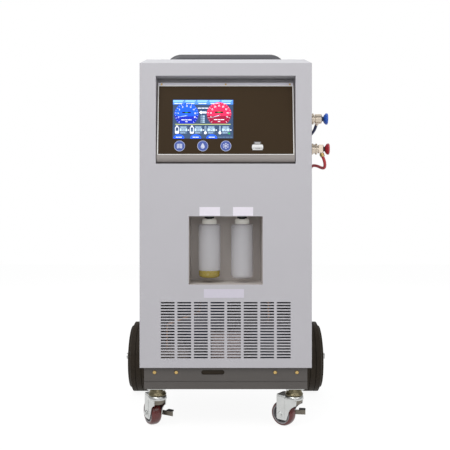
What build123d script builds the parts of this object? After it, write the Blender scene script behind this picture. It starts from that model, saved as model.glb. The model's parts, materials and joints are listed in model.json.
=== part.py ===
from build123d import *

from math import cos, pi, radians, sin, tan
import os

os.makedirs("parts", exist_ok=True)

# Millimetres. +X is the right side seen from the front, +Y the rear, +Z up. The floor is Z = 0.

# Cabinet
cabinet_width = 520
cabinet_depth = 490
cabinet_height = 919
cabinet_bottom = 195
sheet = 1.5
flange = 15
seam = 0.5
bend_radius = 2.5
cover_rise = 16
cover_bevel = 20

# Base chassis
chassis_width = 495
chassis_height = 67
chassis_setback = 10
chassis_wall = 3
chassis_lip = 14
chassis_groove_drop = 44
chassis_groove_height = 3
chassis_groove_depth = 1.5
chassis_slot_length = 70
chassis_slot_height = 14
chassis_slot_x = -39
chassis_screw_drop = 16
chassis_screw_radius = 6
chassis_screw_dome = 2.5
chassis_screw_xs = (-216, -150, 150, 216)
step_rise = 22

# Display window and console
window_width = 422
window_height = 265
window_drop = 38
window_rim_depth = 58
console_width = 417
console_tilt = 7.5
console_face_length = 235
console_floor_gap = 4
console_wall = 3
nose_radius = 12
nose_proud = 3
overlay_width = 408
overlay_height = 212
overlay_thickness = 1.5
overlay_drop = 12
screen_width = 184
screen_height = 121
screen_thickness = 11
screen_x = -69
screen_rise = 2.5
console_screw_radius = 3
console_screw_dome = 1.5
console_screw_spacing = 196

# Bottle niche
niche_width = 223
niche_height = 206
niche_depth = 130
niche_floor = 446
niche_flange = 14

# Bottles
bottle_spacing = 102
bottle_radius = 34.5
bottle_height = 168
bottle_wall = 1.6
bottle_base_radius = 12
bottle_shoulder_radius = 7
bottle_setback = 64
cap_radius = 22.5
cap_height = 15.5
cap_edge = 1.5
neck_radius = 16
connector_radius = 15.5
connector_flange_height = 5.5
neck_height = 10
connector_neck_radius = 9.5
fork_wall = 2
fork_height = 8.5
fork_clearance = 0.3
oil_depth = 23

# Grille
slot_length = 41.5
slot_height = 4.4
slot_pitch_x = 50
slot_pitch_z = 8.7
slot_columns = 8
slot_rows = 20
grille_bottom = 226

# Push handle
handle_width = 465
handle_tube_radius = 15
handle_tube_wall = 2
handle_bend_radius = 48
handle_top = 1274
handle_leg = 330
handle_standoff = 10
clamp_height = 36
clamp_wall = 5
clamp_width = 44
clamp_rise = 30
clamp_spacing = 120

# Rear wheels and axle
rear_wheel_diameter = 254
axle_back = 456
axle_radius = 10
wheel_gap = 21
tread_width = 61
tyre_bead_radius = 85
tyre_lip_radius = 115
tyre_lip_width = 8
tyre_groove = 3
hub_wall = 5
hub_boss_radius = 22
hub_boss_inset = 20
hub_dish = 8
hub_nose = 2
axle_fit = 0.05
axle_cap_radius = 11
axle_cap_length = 10.5
axle_cap_floor = 2
bracket_x = 200
bracket_wall = 6
bracket_length = 40
bracket_reach = 19
bracket_front_gap = 12
bracket_rear_gap = 6
spacer_wall = 4

# Casters
caster_x = 211
caster_setback = 45
caster_wheel_diameter = 76.2
caster_tread_width = 32
caster_tread_thickness = 8
caster_trail = 38
caster_trail_left = 120
caster_trail_right = 142
caster_plate = 60
caster_plate_thickness = 3
race_radius = 23
race_height = 10
kingpin_radius = 6
kingpin_flange = 10
fork_leg_wall = 3
fork_inside = 36
crown_radius = 24
crown_thickness = 5
caster_bolt_radius = 4
caster_bolt_head = 7
running_gap = 0.3
running_fit = 0.05
pedal_wall = 3
pedal_length = 51
pedal_angle = 59
pedal_height = 14
pedal_pad_length = 20
pedal_pad_width = 16

# Service couplers on the right side panel
coupler_setback = 150
low_coupler_z = 969
high_coupler_z = 871
port_radius = 6.5
port_flange_radius = 17
port_flange_thickness = 4
port_length = 26
port_nut_radius = 13
port_nut_thickness = 6
barrel_radius = 12
barrel_start = 6
sleeve_radius = 15
sleeve_flange_radius = 18
sleeve_flange_width = 4
sleeve_length = 17
sleeve_travel = 5
low_barrel_length = 25
high_barrel_length = 36
low_body_length = 21
low_body_radius = 16
high_body_length = 15
high_body_side = 26
body_chamfer = 2
port_end_gap = 1
knob_stem_radius = 5
knob_stem_length = 3
knob_radius = 19
knob_length = 19
knob_rim = 7
knob_edge = 2
knob_flutes = 8
knob_flute_radius = 3.2
spindle_radius = 4
ferrule_radius = 6.5
ferrule_length = 22
high_ferrule_length = 13
ferrule_bead = 1
high_ferrule_lean = 22
low_ferrule_lean = 17

# Hoses
hose_radius = 5
hose_pitch = 10
low_first_run = 33
high_first_run = 14
coil_columns = 4
coil_inner = 45
coil_setback = 412
low_coil_z = 880
high_coil_z = 722
coil_panel_gap = 2
hook_radius = 5
hook_tip = 12
hook_gap = 1
barb_radius = 5.8
barb_length = 24
elbow_side = 12

# Inside the cabinet
plate_setback = 172
plate_bottom = 420
plate_height = 620
plate_flange = 20
scale_side = 230
scale_height = 30
scale_foot_radius = 12
tank_x = -88
tank_setback = 303
tank_radius = 105
tank_height = 400
tank_wall = 3
tank_foot_height = 25
tank_port_radius = 12
valve_height = 45
valve_width = 60
valve_depth = 24
pump_x = -165
pump_setback = 28
pump_motor_radius = 52
pump_motor_length = 90
pump_case_length = 50
pump_case_width = 100
pump_case_height = 96
pump_foot_height = 14
pump_corner = 8
pump_edge = 6
fin_count = 20
fin_thickness = 2.5
fin_height = 4
separator_x = 5
separator_setback = 30
separator_width = 100
separator_depth = 80
separator_height = 160
separator_corner = 12
separator_edge = 5
compressor_x = 137
compressor_setback = 112
compressor_radius = 73
compressor_height = 165
compressor_wall = 3
compressor_foot = 16
compressor_foot_radius = 11
condenser_x = 142
condenser_width = 176
condenser_depth = 25
condenser_height = 220
condenser_rim = 5
condenser_fins = 16
fan_side = 172
fan_gap = 3
fan_depth = 38
fan_bore = 79
fan_hub_radius = 26
fan_blades = 5
fan_tip_gap = 3
fan_shaft_radius = 4
fan_arm = 10
fan_arm_thickness = 4
fan_blade_width = 34
fan_blade_thickness = 2
fan_blade_pitch = 35
manifold_width = 190
manifold_depth = 34
manifold_height = 46
manifold_rise = 220
manifold_edge = 2
solenoid_radius = 14
solenoid_height = 42
solenoid_count = 4
drier_radius = 38
drier_height = 130
drier_edge = 8
drier_gap = 8
drier_x = 150
drier_drop = 280
board_width = 220
board_height = 150
board_drop = 140
board_thickness = 1.6
standoff = 9
standoff_radius = 4
standoff_inset = 7
relay_x = -50
relay_side = 60
driver_x = 55
driver_width = 40
driver_height = 70
board_part_rise = 20
board_part_depth = 12
pipe_radius = 5
pipe_bend = 8
pipe_rise = 75
suction_pipe_x = -82
suction_pipe_entry = 90
suction_inset = 18
vent_slots = 9
vent_slot_length = 120
vent_slot_height = 7
vent_pitch = 15
inlet_x = -165
inlet_z = 270
inlet_width = 50
inlet_height = 28
inlet_depth = 24
bezel_thickness = 2
bezel_edge = 5
bezel_corner = 3
socket_width = 24.5
socket_height = 17
socket_floor = 16
blade_width = 2
blade_height = 4
blade_length = 13
blade_spacing = 7
rocker_width = 21
rocker_height = 15
rocker_depth = 14
rocker_spacing = 46
service_plate_width = 100
service_plate_height = 120
service_plate_corner = 4
service_lap = 8
rocker_rim = 3
rocker_inset = 1
rocker_flat = 4.5

# Places worked out from the sizes above
overall_depth = nose_proud + axle_back + rear_wheel_diameter / 2
front_y = nose_proud - overall_depth / 2
rear_y = front_y + cabinet_depth
side_x = cabinet_width / 2
cabinet_top = cabinet_bottom + cabinet_height
cabinet_middle = cabinet_bottom + cabinet_height / 2
chassis_bottom = cabinet_bottom - chassis_height
chassis_floor = chassis_bottom + chassis_wall
step_floor = chassis_bottom + step_rise + chassis_wall
window_middle = cabinet_top - window_drop - window_height / 2
console_bottom = window_middle - window_height / 2 + console_floor_gap
niche_middle = niche_floor + niche_height / 2
axle_y = front_y + axle_back
axle_z = rear_wheel_diameter / 2
step_y = axle_y - bracket_length / 2 - bracket_front_gap
chassis_rear = axle_y + bracket_length / 2 + bracket_rear_gap

front_plane = Plane(origin=(0, front_y, 0), x_dir=(1, 0, 0), z_dir=(0, -1, 0))
rear_plane = Plane(origin=(0, rear_y, 0), x_dir=(-1, 0, 0), z_dir=(0, 1, 0))


def keep(builder, name):
    """Labels a finished piece and writes its STEP file."""
    builder.part.label = name
    export_step(builder.part, f"parts/{name}.step")


def keep_together(builders, name):
    """Writes pieces that are fixed to each other as one node of separate solids."""
    group = Compound([solid for builder in builders for solid in builder.part.solids()])
    group.label = name
    export_step(group, f"parts/{name}.step")


def depth_plane(setback):
    """The plane parallel to the front panel, that far behind its outer face."""
    return front_plane.offset(-setback)


# Front panel: a folded sheet with the window and its rim, the niche cut-out and the slotted grille
with BuildPart() as front_panel:
    with BuildSketch(front_plane):
        with Locations((0, cabinet_middle)):
            Rectangle(cabinet_width, cabinet_height)
    extrude(amount=-flange)
    fillet(front_panel.faces().sort_by(Axis.Y)[0].edges().filter_by(Axis.Z), radius=bend_radius)
    offset(amount=-sheet, openings=front_panel.faces().sort_by(Axis.Y)[-1])
    with BuildSketch(front_plane):
        with Locations((0, window_middle)):
            Rectangle(window_width + 2 * sheet, window_height + 2 * sheet)
    extrude(amount=-window_rim_depth)
    with BuildSketch(front_plane):
        with Locations((0, window_middle)):
            Rectangle(window_width, window_height)
    extrude(amount=-(window_rim_depth - sheet), mode=Mode.SUBTRACT)
    with BuildSketch(front_plane):
        with Locations((0, window_middle)):
            Rectangle(window_width - 2 * flange, window_height - 2 * flange)
        with Locations((0, niche_middle)):
            Rectangle(niche_width, niche_height)
        with Locations((0, grille_bottom + (slot_rows - 1) * slot_pitch_z / 2)):
            with GridLocations(slot_pitch_x, slot_pitch_z, slot_columns, slot_rows):
                Rectangle(slot_length, slot_height)
    extrude(amount=-window_rim_depth, mode=Mode.SUBTRACT)
keep(front_panel, "front_panel")


def side_panel(side):
    """A side sheet whose flanges fold inward behind the front panel's and before the rear panel's."""
    depth = cabinet_depth - 2 * flange - 2 * seam
    plane = Plane(
        origin=(side * side_x, front_y + cabinet_depth / 2, cabinet_middle),
        x_dir=(0, side, 0),
        z_dir=(side, 0, 0),
    )
    with BuildPart() as panel:
        with BuildSketch(plane):
            Rectangle(depth, cabinet_height)
        extrude(amount=-flange)
        inner_face = panel.faces().sort_by(Axis.X)[-1 if side < 0 else 0]
        offset(amount=-sheet, openings=inner_face)
        if side > 0:
            with BuildSketch(plane):
                for port_z in (low_coupler_z, high_coupler_z):
                    with Locations((coupler_setback - cabinet_depth / 2, port_z - cabinet_middle)):
                        Circle(port_radius + running_gap)
            extrude(amount=-sheet, mode=Mode.SUBTRACT)
    return panel


keep(side_panel(-1), "left_side_panel")
keep(side_panel(1), "right_side_panel")

# Rear panel: a folded sheet with vent slots for the fan and an opening behind the service plate
fan_z = cabinet_bottom + fan_gap + fan_side / 2
service_z = inlet_z + rocker_spacing / 2
with BuildPart() as rear_panel:
    with BuildSketch(rear_plane):
        with Locations((0, cabinet_middle)):
            Rectangle(cabinet_width, cabinet_height)
    extrude(amount=-flange)
    fillet(rear_panel.faces().sort_by(Axis.Y)[-1].edges().filter_by(Axis.Z), radius=bend_radius)
    offset(amount=-sheet, openings=rear_panel.faces().sort_by(Axis.Y)[0])
    with BuildSketch(rear_plane):
        with Locations((-condenser_x, fan_z)):
            with GridLocations(1, vent_pitch, 1, vent_slots):
                SlotOverall(vent_slot_length, vent_slot_height)
        with Locations((-inlet_x, service_z)):
            Rectangle(service_plate_width - 2 * service_lap, service_plate_height - 2 * service_lap)
    extrude(amount=-sheet, mode=Mode.SUBTRACT)

# Service plate: a sheet over that opening, with cut-outs for the power inlet and its switch
rocker_z = inlet_z + rocker_spacing
rocker_hole_width = rocker_width + 2 * rocker_rim
rocker_hole_height = rocker_height + 2 * rocker_rim
with BuildPart() as service_plate:
    with BuildSketch(rear_plane):
        with Locations((-inlet_x, service_z)):
            RectangleRounded(service_plate_width, service_plate_height, service_plate_corner)
        with Locations((-inlet_x, inlet_z)):
            Rectangle(inlet_width, inlet_height, mode=Mode.SUBTRACT)
        with Locations((-inlet_x, rocker_z)):
            Rectangle(rocker_hole_width, rocker_hole_height, mode=Mode.SUBTRACT)
    extrude(amount=sheet)
keep_together((rear_panel, service_plate), "rear_panel")

# Top cover: a shallow pan with its four sides bevelled towards the flat top
with BuildPart() as top_cover:
    with BuildSketch(Plane(origin=(0, front_y + cabinet_depth / 2, cabinet_top))):
        Rectangle(cabinet_width, cabinet_depth)
    with BuildSketch(Plane(origin=(0, front_y + cabinet_depth / 2, cabinet_top + cover_rise))):
        Rectangle(cabinet_width - 2 * cover_bevel, cabinet_depth - 2 * cover_bevel)
    loft()
    offset(amount=-sheet, openings=top_cover.faces().sort_by(Axis.Z)[0])
keep(top_cover, "top_cover")

# Base chassis: an open tray with an in-turned lip, stepped up at the rear to clear the axle
with BuildPart() as base_chassis:
    with BuildSketch(Plane.YZ):
        with BuildLine():
            Polyline(
                (front_y + chassis_setback, chassis_bottom),
                (step_y, chassis_bottom),
                (step_y, chassis_bottom + step_rise),
                (chassis_rear, chassis_bottom + step_rise),
                (chassis_rear, cabinet_bottom),
                (front_y + chassis_setback, cabinet_bottom),
                close=True,
            )
        make_face()
    extrude(amount=chassis_width / 2, both=True)
    offset(amount=-chassis_wall, openings=base_chassis.faces().sort_by(Axis.Z)[-1])
    lip_middle = (front_y + chassis_setback + chassis_rear) / 2
    lip_depth = chassis_rear - front_y - chassis_setback
    with BuildSketch(Plane(origin=(0, lip_middle, cabinet_bottom))):
        Rectangle(chassis_width, lip_depth)
        Rectangle(chassis_width - 2 * chassis_lip, lip_depth - 2 * chassis_lip, mode=Mode.SUBTRACT)
    extrude(amount=-chassis_wall)
    with BuildSketch(depth_plane(chassis_setback)):
        with Locations((0, cabinet_bottom - chassis_groove_drop)):
            Rectangle(chassis_width, chassis_groove_height)
    extrude(amount=-chassis_groove_depth, mode=Mode.SUBTRACT)
    with BuildSketch(depth_plane(chassis_setback)):
        with Locations((chassis_slot_x, cabinet_bottom - chassis_screw_drop)):
            SlotOverall(chassis_slot_length, chassis_slot_height)
        for screw_x in chassis_screw_xs:
            with Locations((screw_x, cabinet_bottom - chassis_screw_drop)):
                Circle(chassis_screw_radius / 2)
    extrude(amount=-chassis_wall, mode=Mode.SUBTRACT)

# Console housing: a wedge with a tilted face and a rounded nose, open at the back
arc_y = front_y - nose_proud + nose_radius
arc_z = console_bottom + nose_radius
face_foot = (
    arc_y - nose_radius * cos(radians(console_tilt)),
    arc_z + nose_radius * sin(radians(console_tilt)),
)
face_head = (
    face_foot[0] + console_face_length * sin(radians(console_tilt)),
    face_foot[1] + console_face_length * cos(radians(console_tilt)),
)
console_back = front_y + window_rim_depth - sheet
overlay_centre = overlay_drop + overlay_height / 2
console_face = Plane(
    origin=(
        0,
        face_head[0] - overlay_centre * sin(radians(console_tilt)),
        face_head[1] - overlay_centre * cos(radians(console_tilt)),
    ),
    x_dir=(1, 0, 0),
    z_dir=(0, -cos(radians(console_tilt)), sin(radians(console_tilt))),
)
screw_strip = overlay_centre - overlay_drop / 2
with BuildPart() as console_housing:
    with BuildSketch(Plane.YZ):
        with BuildLine():
            CenterArc((arc_y, arc_z), nose_radius, 180 - console_tilt, 90 + console_tilt)
            Polyline(
                (arc_y, console_bottom),
                (console_back, console_bottom),
                (console_back, face_head[1]),
                face_head,
                face_foot,
            )
        make_face()
    extrude(amount=console_width / 2, both=True)
    offset(amount=-console_wall, openings=console_housing.faces().sort_by(Axis.Y)[-1])
    with BuildSketch(console_face):
        Rectangle(overlay_width, overlay_height)
    extrude(amount=-overlay_thickness, mode=Mode.SUBTRACT)
    with BuildSketch(console_face):
        with Locations((screen_x, screen_rise)):
            Rectangle(screen_width, screen_height)
        with Locations((0, screw_strip)):
            with GridLocations(console_screw_spacing, 1, 3, 1):
                Circle(console_screw_radius / 2)
    extrude(amount=-2 * console_wall, mode=Mode.SUBTRACT)
keep(console_housing, "console_housing")

# Control panel: the dark plate let into the console's face, with the opening for the screen
with BuildPart() as control_panel:
    with BuildSketch(console_face):
        Rectangle(overlay_width - 2 * running_gap, overlay_height - 2 * running_gap)
        with Locations((screen_x, screen_rise)):
            Rectangle(screen_width, screen_height, mode=Mode.SUBTRACT)
    extrude(amount=-overlay_thickness)
keep(control_panel, "control_panel")

with BuildPart() as touch_screen:
    with BuildSketch(console_face.offset(-running_gap)):
        with Locations((screen_x, screen_rise)):
            Rectangle(screen_width - 2 * running_gap, screen_height - 2 * running_gap)
    extrude(amount=-screen_thickness)
keep(touch_screen, "touch_screen")

# Brass screws with domed heads, three on the console's top strip and four on the chassis
with BuildPart() as panel_screws:
    with BuildSketch(console_face):
        with Locations((0, screw_strip)):
            with GridLocations(console_screw_spacing, 1, 3, 1):
                Circle(console_screw_radius)
    extrude(amount=console_screw_dome)
    with BuildSketch(console_face):
        with Locations((0, screw_strip)):
            with GridLocations(console_screw_spacing, 1, 3, 1):
                Circle(console_screw_radius / 2)
    extrude(amount=-console_wall)
    with BuildSketch(depth_plane(chassis_setback)):
        for screw_x in chassis_screw_xs:
            with Locations((screw_x, cabinet_bottom - chassis_screw_drop)):
                Circle(chassis_screw_radius)
    extrude(amount=chassis_screw_dome)
    with BuildSketch(depth_plane(chassis_setback)):
        for screw_x in chassis_screw_xs:
            with Locations((screw_x, cabinet_bottom - chassis_screw_drop)):
                Circle(chassis_screw_radius / 2)
    extrude(amount=-2 * chassis_wall)
keep(panel_screws, "panel_screws")

# Bottle niche: a five-walled box flanged against the back of the front panel
niche_mouth = depth_plane(sheet)
with BuildPart() as bottle_niche:
    with BuildSketch(niche_mouth):
        with Locations((0, niche_middle)):
            Rectangle(niche_width + 2 * sheet, niche_height + 2 * sheet)
    extrude(amount=-niche_depth)
    with BuildSketch(niche_mouth):
        with Locations((0, niche_middle)):
            Rectangle(niche_width + 2 * niche_flange, niche_height + 2 * niche_flange)
    extrude(amount=-sheet)
    with BuildSketch(niche_mouth):
        with Locations((0, niche_middle)):
            Rectangle(niche_width, niche_height)
    extrude(amount=-(niche_depth - sheet), mode=Mode.SUBTRACT)

# Bottle forks: a channel under the niche's ceiling for each bottle, open to the front
niche_ceiling = niche_floor + niche_height
bottle_y = front_y + bottle_setback
fork_half = connector_radius + fork_clearance + fork_wall
connector_bottom = niche_ceiling - fork_height - fork_clearance
with BuildPart() as bottle_forks:
    fork_rear = bottle_y + fork_half
    fork_front = bottle_y - connector_radius
    with BuildSketch(Plane.XZ.offset(-fork_rear)):
        for bottle_x in (-bottle_spacing / 2, bottle_spacing / 2):
            with Locations((bottle_x, niche_ceiling - fork_height / 2)):
                Rectangle(2 * fork_half, fork_height)
    extrude(amount=fork_rear - fork_front)
    with BuildSketch(Plane.XZ.offset(-(fork_rear - fork_wall))):
        for bottle_x in (-bottle_spacing / 2, bottle_spacing / 2):
            with Locations((bottle_x, niche_ceiling - (fork_height - fork_wall) / 2)):
                Rectangle(2 * (fork_half - fork_wall), fork_height - fork_wall)
            with Locations((bottle_x, niche_ceiling - fork_height + fork_wall / 2)):
                Rectangle(2 * (connector_neck_radius + fork_clearance), fork_wall)
    extrude(amount=fork_rear - fork_front, mode=Mode.SUBTRACT)
keep_together((bottle_niche, bottle_forks), "bottle_niche")

# Bottles hang from their connectors in the forks
bottle_top = connector_bottom - cap_height
bottle_bottom = bottle_top - bottle_height


def rounded_can(foot, radius, height, base_corner, top_corner):
    """A solid cylinder standing on a plane, with rounded edges."""
    with BuildPart() as can:
        with BuildSketch(foot):
            Circle(radius)
        extrude(amount=height)
        fillet(can.faces().sort_by(Axis.Z)[0].edges(), radius=base_corner)
        fillet(can.faces().sort_by(Axis.Z)[-1].edges(), radius=top_corner)
    return can.part


def vessel(foot, radius, height, base_corner, top_corner, wall, port_radius):
    """A hollow can with an even wall and a round port in its top."""
    outside = rounded_can(foot, radius, height, base_corner, top_corner)
    inside = rounded_can(
        foot.offset(wall), radius - wall, height - 2 * wall, base_corner - wall, top_corner - wall
    )
    with BuildPart() as shell:
        add(outside)
        add(inside, mode=Mode.SUBTRACT)
        with BuildSketch(foot.offset(height)):
            Circle(port_radius)
        extrude(amount=-2 * wall, mode=Mode.SUBTRACT)
    return shell


def hanging_bottle(bottle_x, name):
    """A thin-walled bottle with its neck, screw cap and connector, hanging on its axis in the niche."""
    foot = Plane(origin=(bottle_x, bottle_y, bottle_bottom))
    shell = vessel(
        foot,
        bottle_radius,
        bottle_height,
        bottle_base_radius,
        bottle_shoulder_radius,
        bottle_wall,
        neck_radius - bottle_wall,
    )
    with BuildPart() as body:
        add(shell.part)
        with BuildSketch(foot.offset(bottle_height)):
            Circle(neck_radius)
            Circle(neck_radius - bottle_wall, mode=Mode.SUBTRACT)
        extrude(amount=neck_height)
    keep(body, f"{name}_bottle")
    with BuildPart() as cap:
        with BuildSketch(foot.offset(bottle_height)):
            Circle(cap_radius)
        extrude(amount=cap_height)
        with BuildSketch(foot.offset(bottle_height)):
            Circle(neck_radius + running_fit)
        extrude(amount=neck_height + running_fit, mode=Mode.SUBTRACT)
        fillet(cap.faces().sort_by(Axis.Z)[-1].edges(), radius=cap_edge)
    with BuildPart() as connector:
        with BuildSketch(foot.offset(bottle_height + cap_height)):
            Circle(connector_neck_radius)
        extrude(amount=fork_wall + 2 * fork_clearance)
        with BuildSketch(foot.offset(bottle_height + cap_height + fork_wall + 2 * fork_clearance)):
            Circle(connector_radius)
        extrude(amount=connector_flange_height)
    keep_together((cap, connector), f"{name}_cap")


hanging_bottle(-bottle_spacing / 2, "used_oil")
hanging_bottle(bottle_spacing / 2, "new_oil")

# The oil that fills the bottom of the used-oil bottle
with BuildPart() as used_oil:
    oil_foot = (-bottle_spacing / 2, bottle_y, bottle_bottom + bottle_wall + running_fit)
    with BuildSketch(Plane(origin=oil_foot)):
        Circle(bottle_radius - bottle_wall - running_fit)
    extrude(amount=oil_depth)
    fillet(
        used_oil.faces().sort_by(Axis.Z)[0].edges(),
        radius=bottle_base_radius - bottle_wall - running_fit,
    )
keep(used_oil, "used_oil")

# Push handle: a bent tube whose legs are clamped to the rear panel
handle_y = rear_y + handle_standoff + handle_tube_radius
handle_x = handle_width / 2 - handle_tube_radius
bar_z = handle_top - handle_tube_radius
leg_foot_z = bar_z - handle_leg
with BuildPart() as push_handle:
    with BuildLine() as handle_path:
        FilletPolyline(
            (-handle_x, handle_y, leg_foot_z),
            (-handle_x, handle_y, bar_z),
            (handle_x, handle_y, bar_z),
            (handle_x, handle_y, leg_foot_z),
            radius=handle_bend_radius,
        )
    with BuildSketch(Plane(origin=(-handle_x, handle_y, leg_foot_z))):
        Circle(handle_tube_radius)
        Circle(handle_tube_radius - handle_tube_wall, mode=Mode.SUBTRACT)
    sweep(path=handle_path.line)
keep(push_handle, "push_handle")

with BuildPart() as handle_clamps:
    clamp_depth = handle_standoff + 2 * handle_tube_radius + clamp_wall
    for clamp_z in (leg_foot_z + clamp_rise, leg_foot_z + clamp_rise + clamp_spacing):
        with BuildSketch(Plane(origin=(0, rear_y + clamp_depth / 2, clamp_z - clamp_height / 2))):
            with GridLocations(2 * handle_x, 1, 2, 1):
                RectangleRounded(clamp_width, clamp_depth, clamp_wall)
        extrude(amount=clamp_height)
        with BuildSketch(Plane(origin=(0, handle_y, clamp_z - clamp_height / 2))):
            with GridLocations(2 * handle_x, 1, 2, 1):
                Circle(handle_tube_radius + running_fit)
        extrude(amount=clamp_height, mode=Mode.SUBTRACT)
keep(handle_clamps, "handle_clamps")

# Rear wheels on a fixed axle that hangs under the chassis step in two brackets
axle_line = Axis((0, axle_y, axle_z), (1, 0, 0))
axle_section = Plane(origin=(0, axle_y, axle_z), x_dir=(1, 0, 0), z_dir=(0, -1, 0))
half_tread = tread_width / 2
wheel_middle = side_x + wheel_gap + half_tread
dish_rim = half_tread + tyre_lip_width
dish_top = dish_rim + hub_dish
hub_end = dish_top + hub_nose
axle_bore = axle_radius + axle_fit


def wheel_part(side, outline):
    """A ring turned about the axle from its half section of (outboard distance, radius) points."""
    with BuildPart() as ring:
        with BuildSketch(axle_section):
            with BuildLine():
                Polyline(*[(side * (wheel_middle + x), r) for x, r in outline], close=True)
            make_face()
        revolve(axis=axle_line)
    return ring


def tyre(side):
    """A tyre with two tread grooves and a stepped outer shoulder."""
    tread = rear_wheel_diameter / 2
    chamfer_width = 2 * tyre_groove
    outline = [(-half_tread, tyre_bead_radius), (-half_tread, tread - chamfer_width)]
    outline.append((-half_tread + tyre_groove, tread))
    for groove_x in (-half_tread / 3, half_tread / 3):
        outline.append((groove_x - tyre_groove / 2, tread))
        outline.append((groove_x - tyre_groove / 2, tread - tyre_groove))
        outline.append((groove_x + tyre_groove / 2, tread - tyre_groove))
        outline.append((groove_x + tyre_groove / 2, tread))
    outline.append((half_tread - tyre_groove, tread))
    outline.append((half_tread, tread - chamfer_width))
    outline.append((half_tread, tyre_lip_radius))
    outline.append((dish_rim, tyre_lip_radius - tyre_groove))
    outline.append((dish_rim, tyre_bead_radius))
    return wheel_part(side, outline)


def hub(side):
    """A dished hub with a rim for the tyre and a long boss on the axle."""
    outline = [
        (-hub_boss_inset, axle_bore),
        (-hub_boss_inset, hub_boss_radius),
        (dish_top - hub_wall, hub_boss_radius),
        (dish_rim - hub_wall, tyre_bead_radius - hub_wall),
        (-half_tread, tyre_bead_radius - hub_wall),
        (-half_tread, tyre_bead_radius),
        (dish_rim, tyre_bead_radius),
        (dish_top, hub_boss_radius + hub_wall),
        (hub_end, hub_boss_radius),
        (hub_end, axle_bore),
    ]
    return wheel_part(side, outline)


for side, name in ((-1, "left"), (1, "right")):
    keep(tyre(side), f"rear_tyre_{name}")
    keep(hub(side), f"rear_hub_{name}")

cap_start = wheel_middle + hub_end + running_gap
with BuildPart() as rear_axle:
    with BuildSketch(Plane(origin=(0, axle_y, axle_z), z_dir=(1, 0, 0))):
        Circle(axle_radius)
    extrude(amount=cap_start + axle_cap_length - axle_cap_floor, both=True)

with BuildPart() as axle_caps:
    for side in (-1, 1):
        cap_plane = Plane(origin=(side * cap_start, axle_y, axle_z), z_dir=(side, 0, 0))
        with BuildSketch(cap_plane):
            Circle(axle_cap_radius)
        extrude(amount=axle_cap_length)
        with BuildSketch(cap_plane):
            Circle(axle_radius)
        extrude(amount=axle_cap_length - axle_cap_floor, mode=Mode.SUBTRACT)

with BuildPart() as axle_brackets:
    for side in (-1, 1):
        bracket_plane = Plane(
            origin=(side * bracket_x, axle_y, axle_z), x_dir=(0, side, 0), z_dir=(side, 0, 0)
        )
        bracket_rise = chassis_bottom + step_rise - axle_z
        with BuildSketch(bracket_plane):
            with Locations((0, bracket_rise / 2)):
                Rectangle(bracket_length, bracket_rise)
            Circle(bracket_reach)
            Circle(axle_bore, mode=Mode.SUBTRACT)
        extrude(amount=bracket_wall)
        bracket_head = (side * (bracket_x - bracket_reach / 2), axle_y, axle_z + bracket_rise)
        with BuildSketch(Plane(origin=bracket_head)):
            Rectangle(bracket_reach, bracket_length)
        extrude(amount=-bracket_wall / 2)
keep_together((base_chassis, axle_brackets), "base_chassis")

with BuildPart() as axle_spacers:
    for side in (-1, 1):
        spacer_start = (side * (bracket_x + bracket_wall), axle_y, axle_z)
        with BuildSketch(Plane(origin=spacer_start, z_dir=(side, 0, 0))):
            Circle(axle_radius + spacer_wall)
            Circle(axle_bore, mode=Mode.SUBTRACT)
        extrude(amount=wheel_middle - hub_boss_inset - running_gap - bracket_x - bracket_wall)
keep_together((rear_axle, axle_caps, axle_spacers), "rear_axle")


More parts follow.
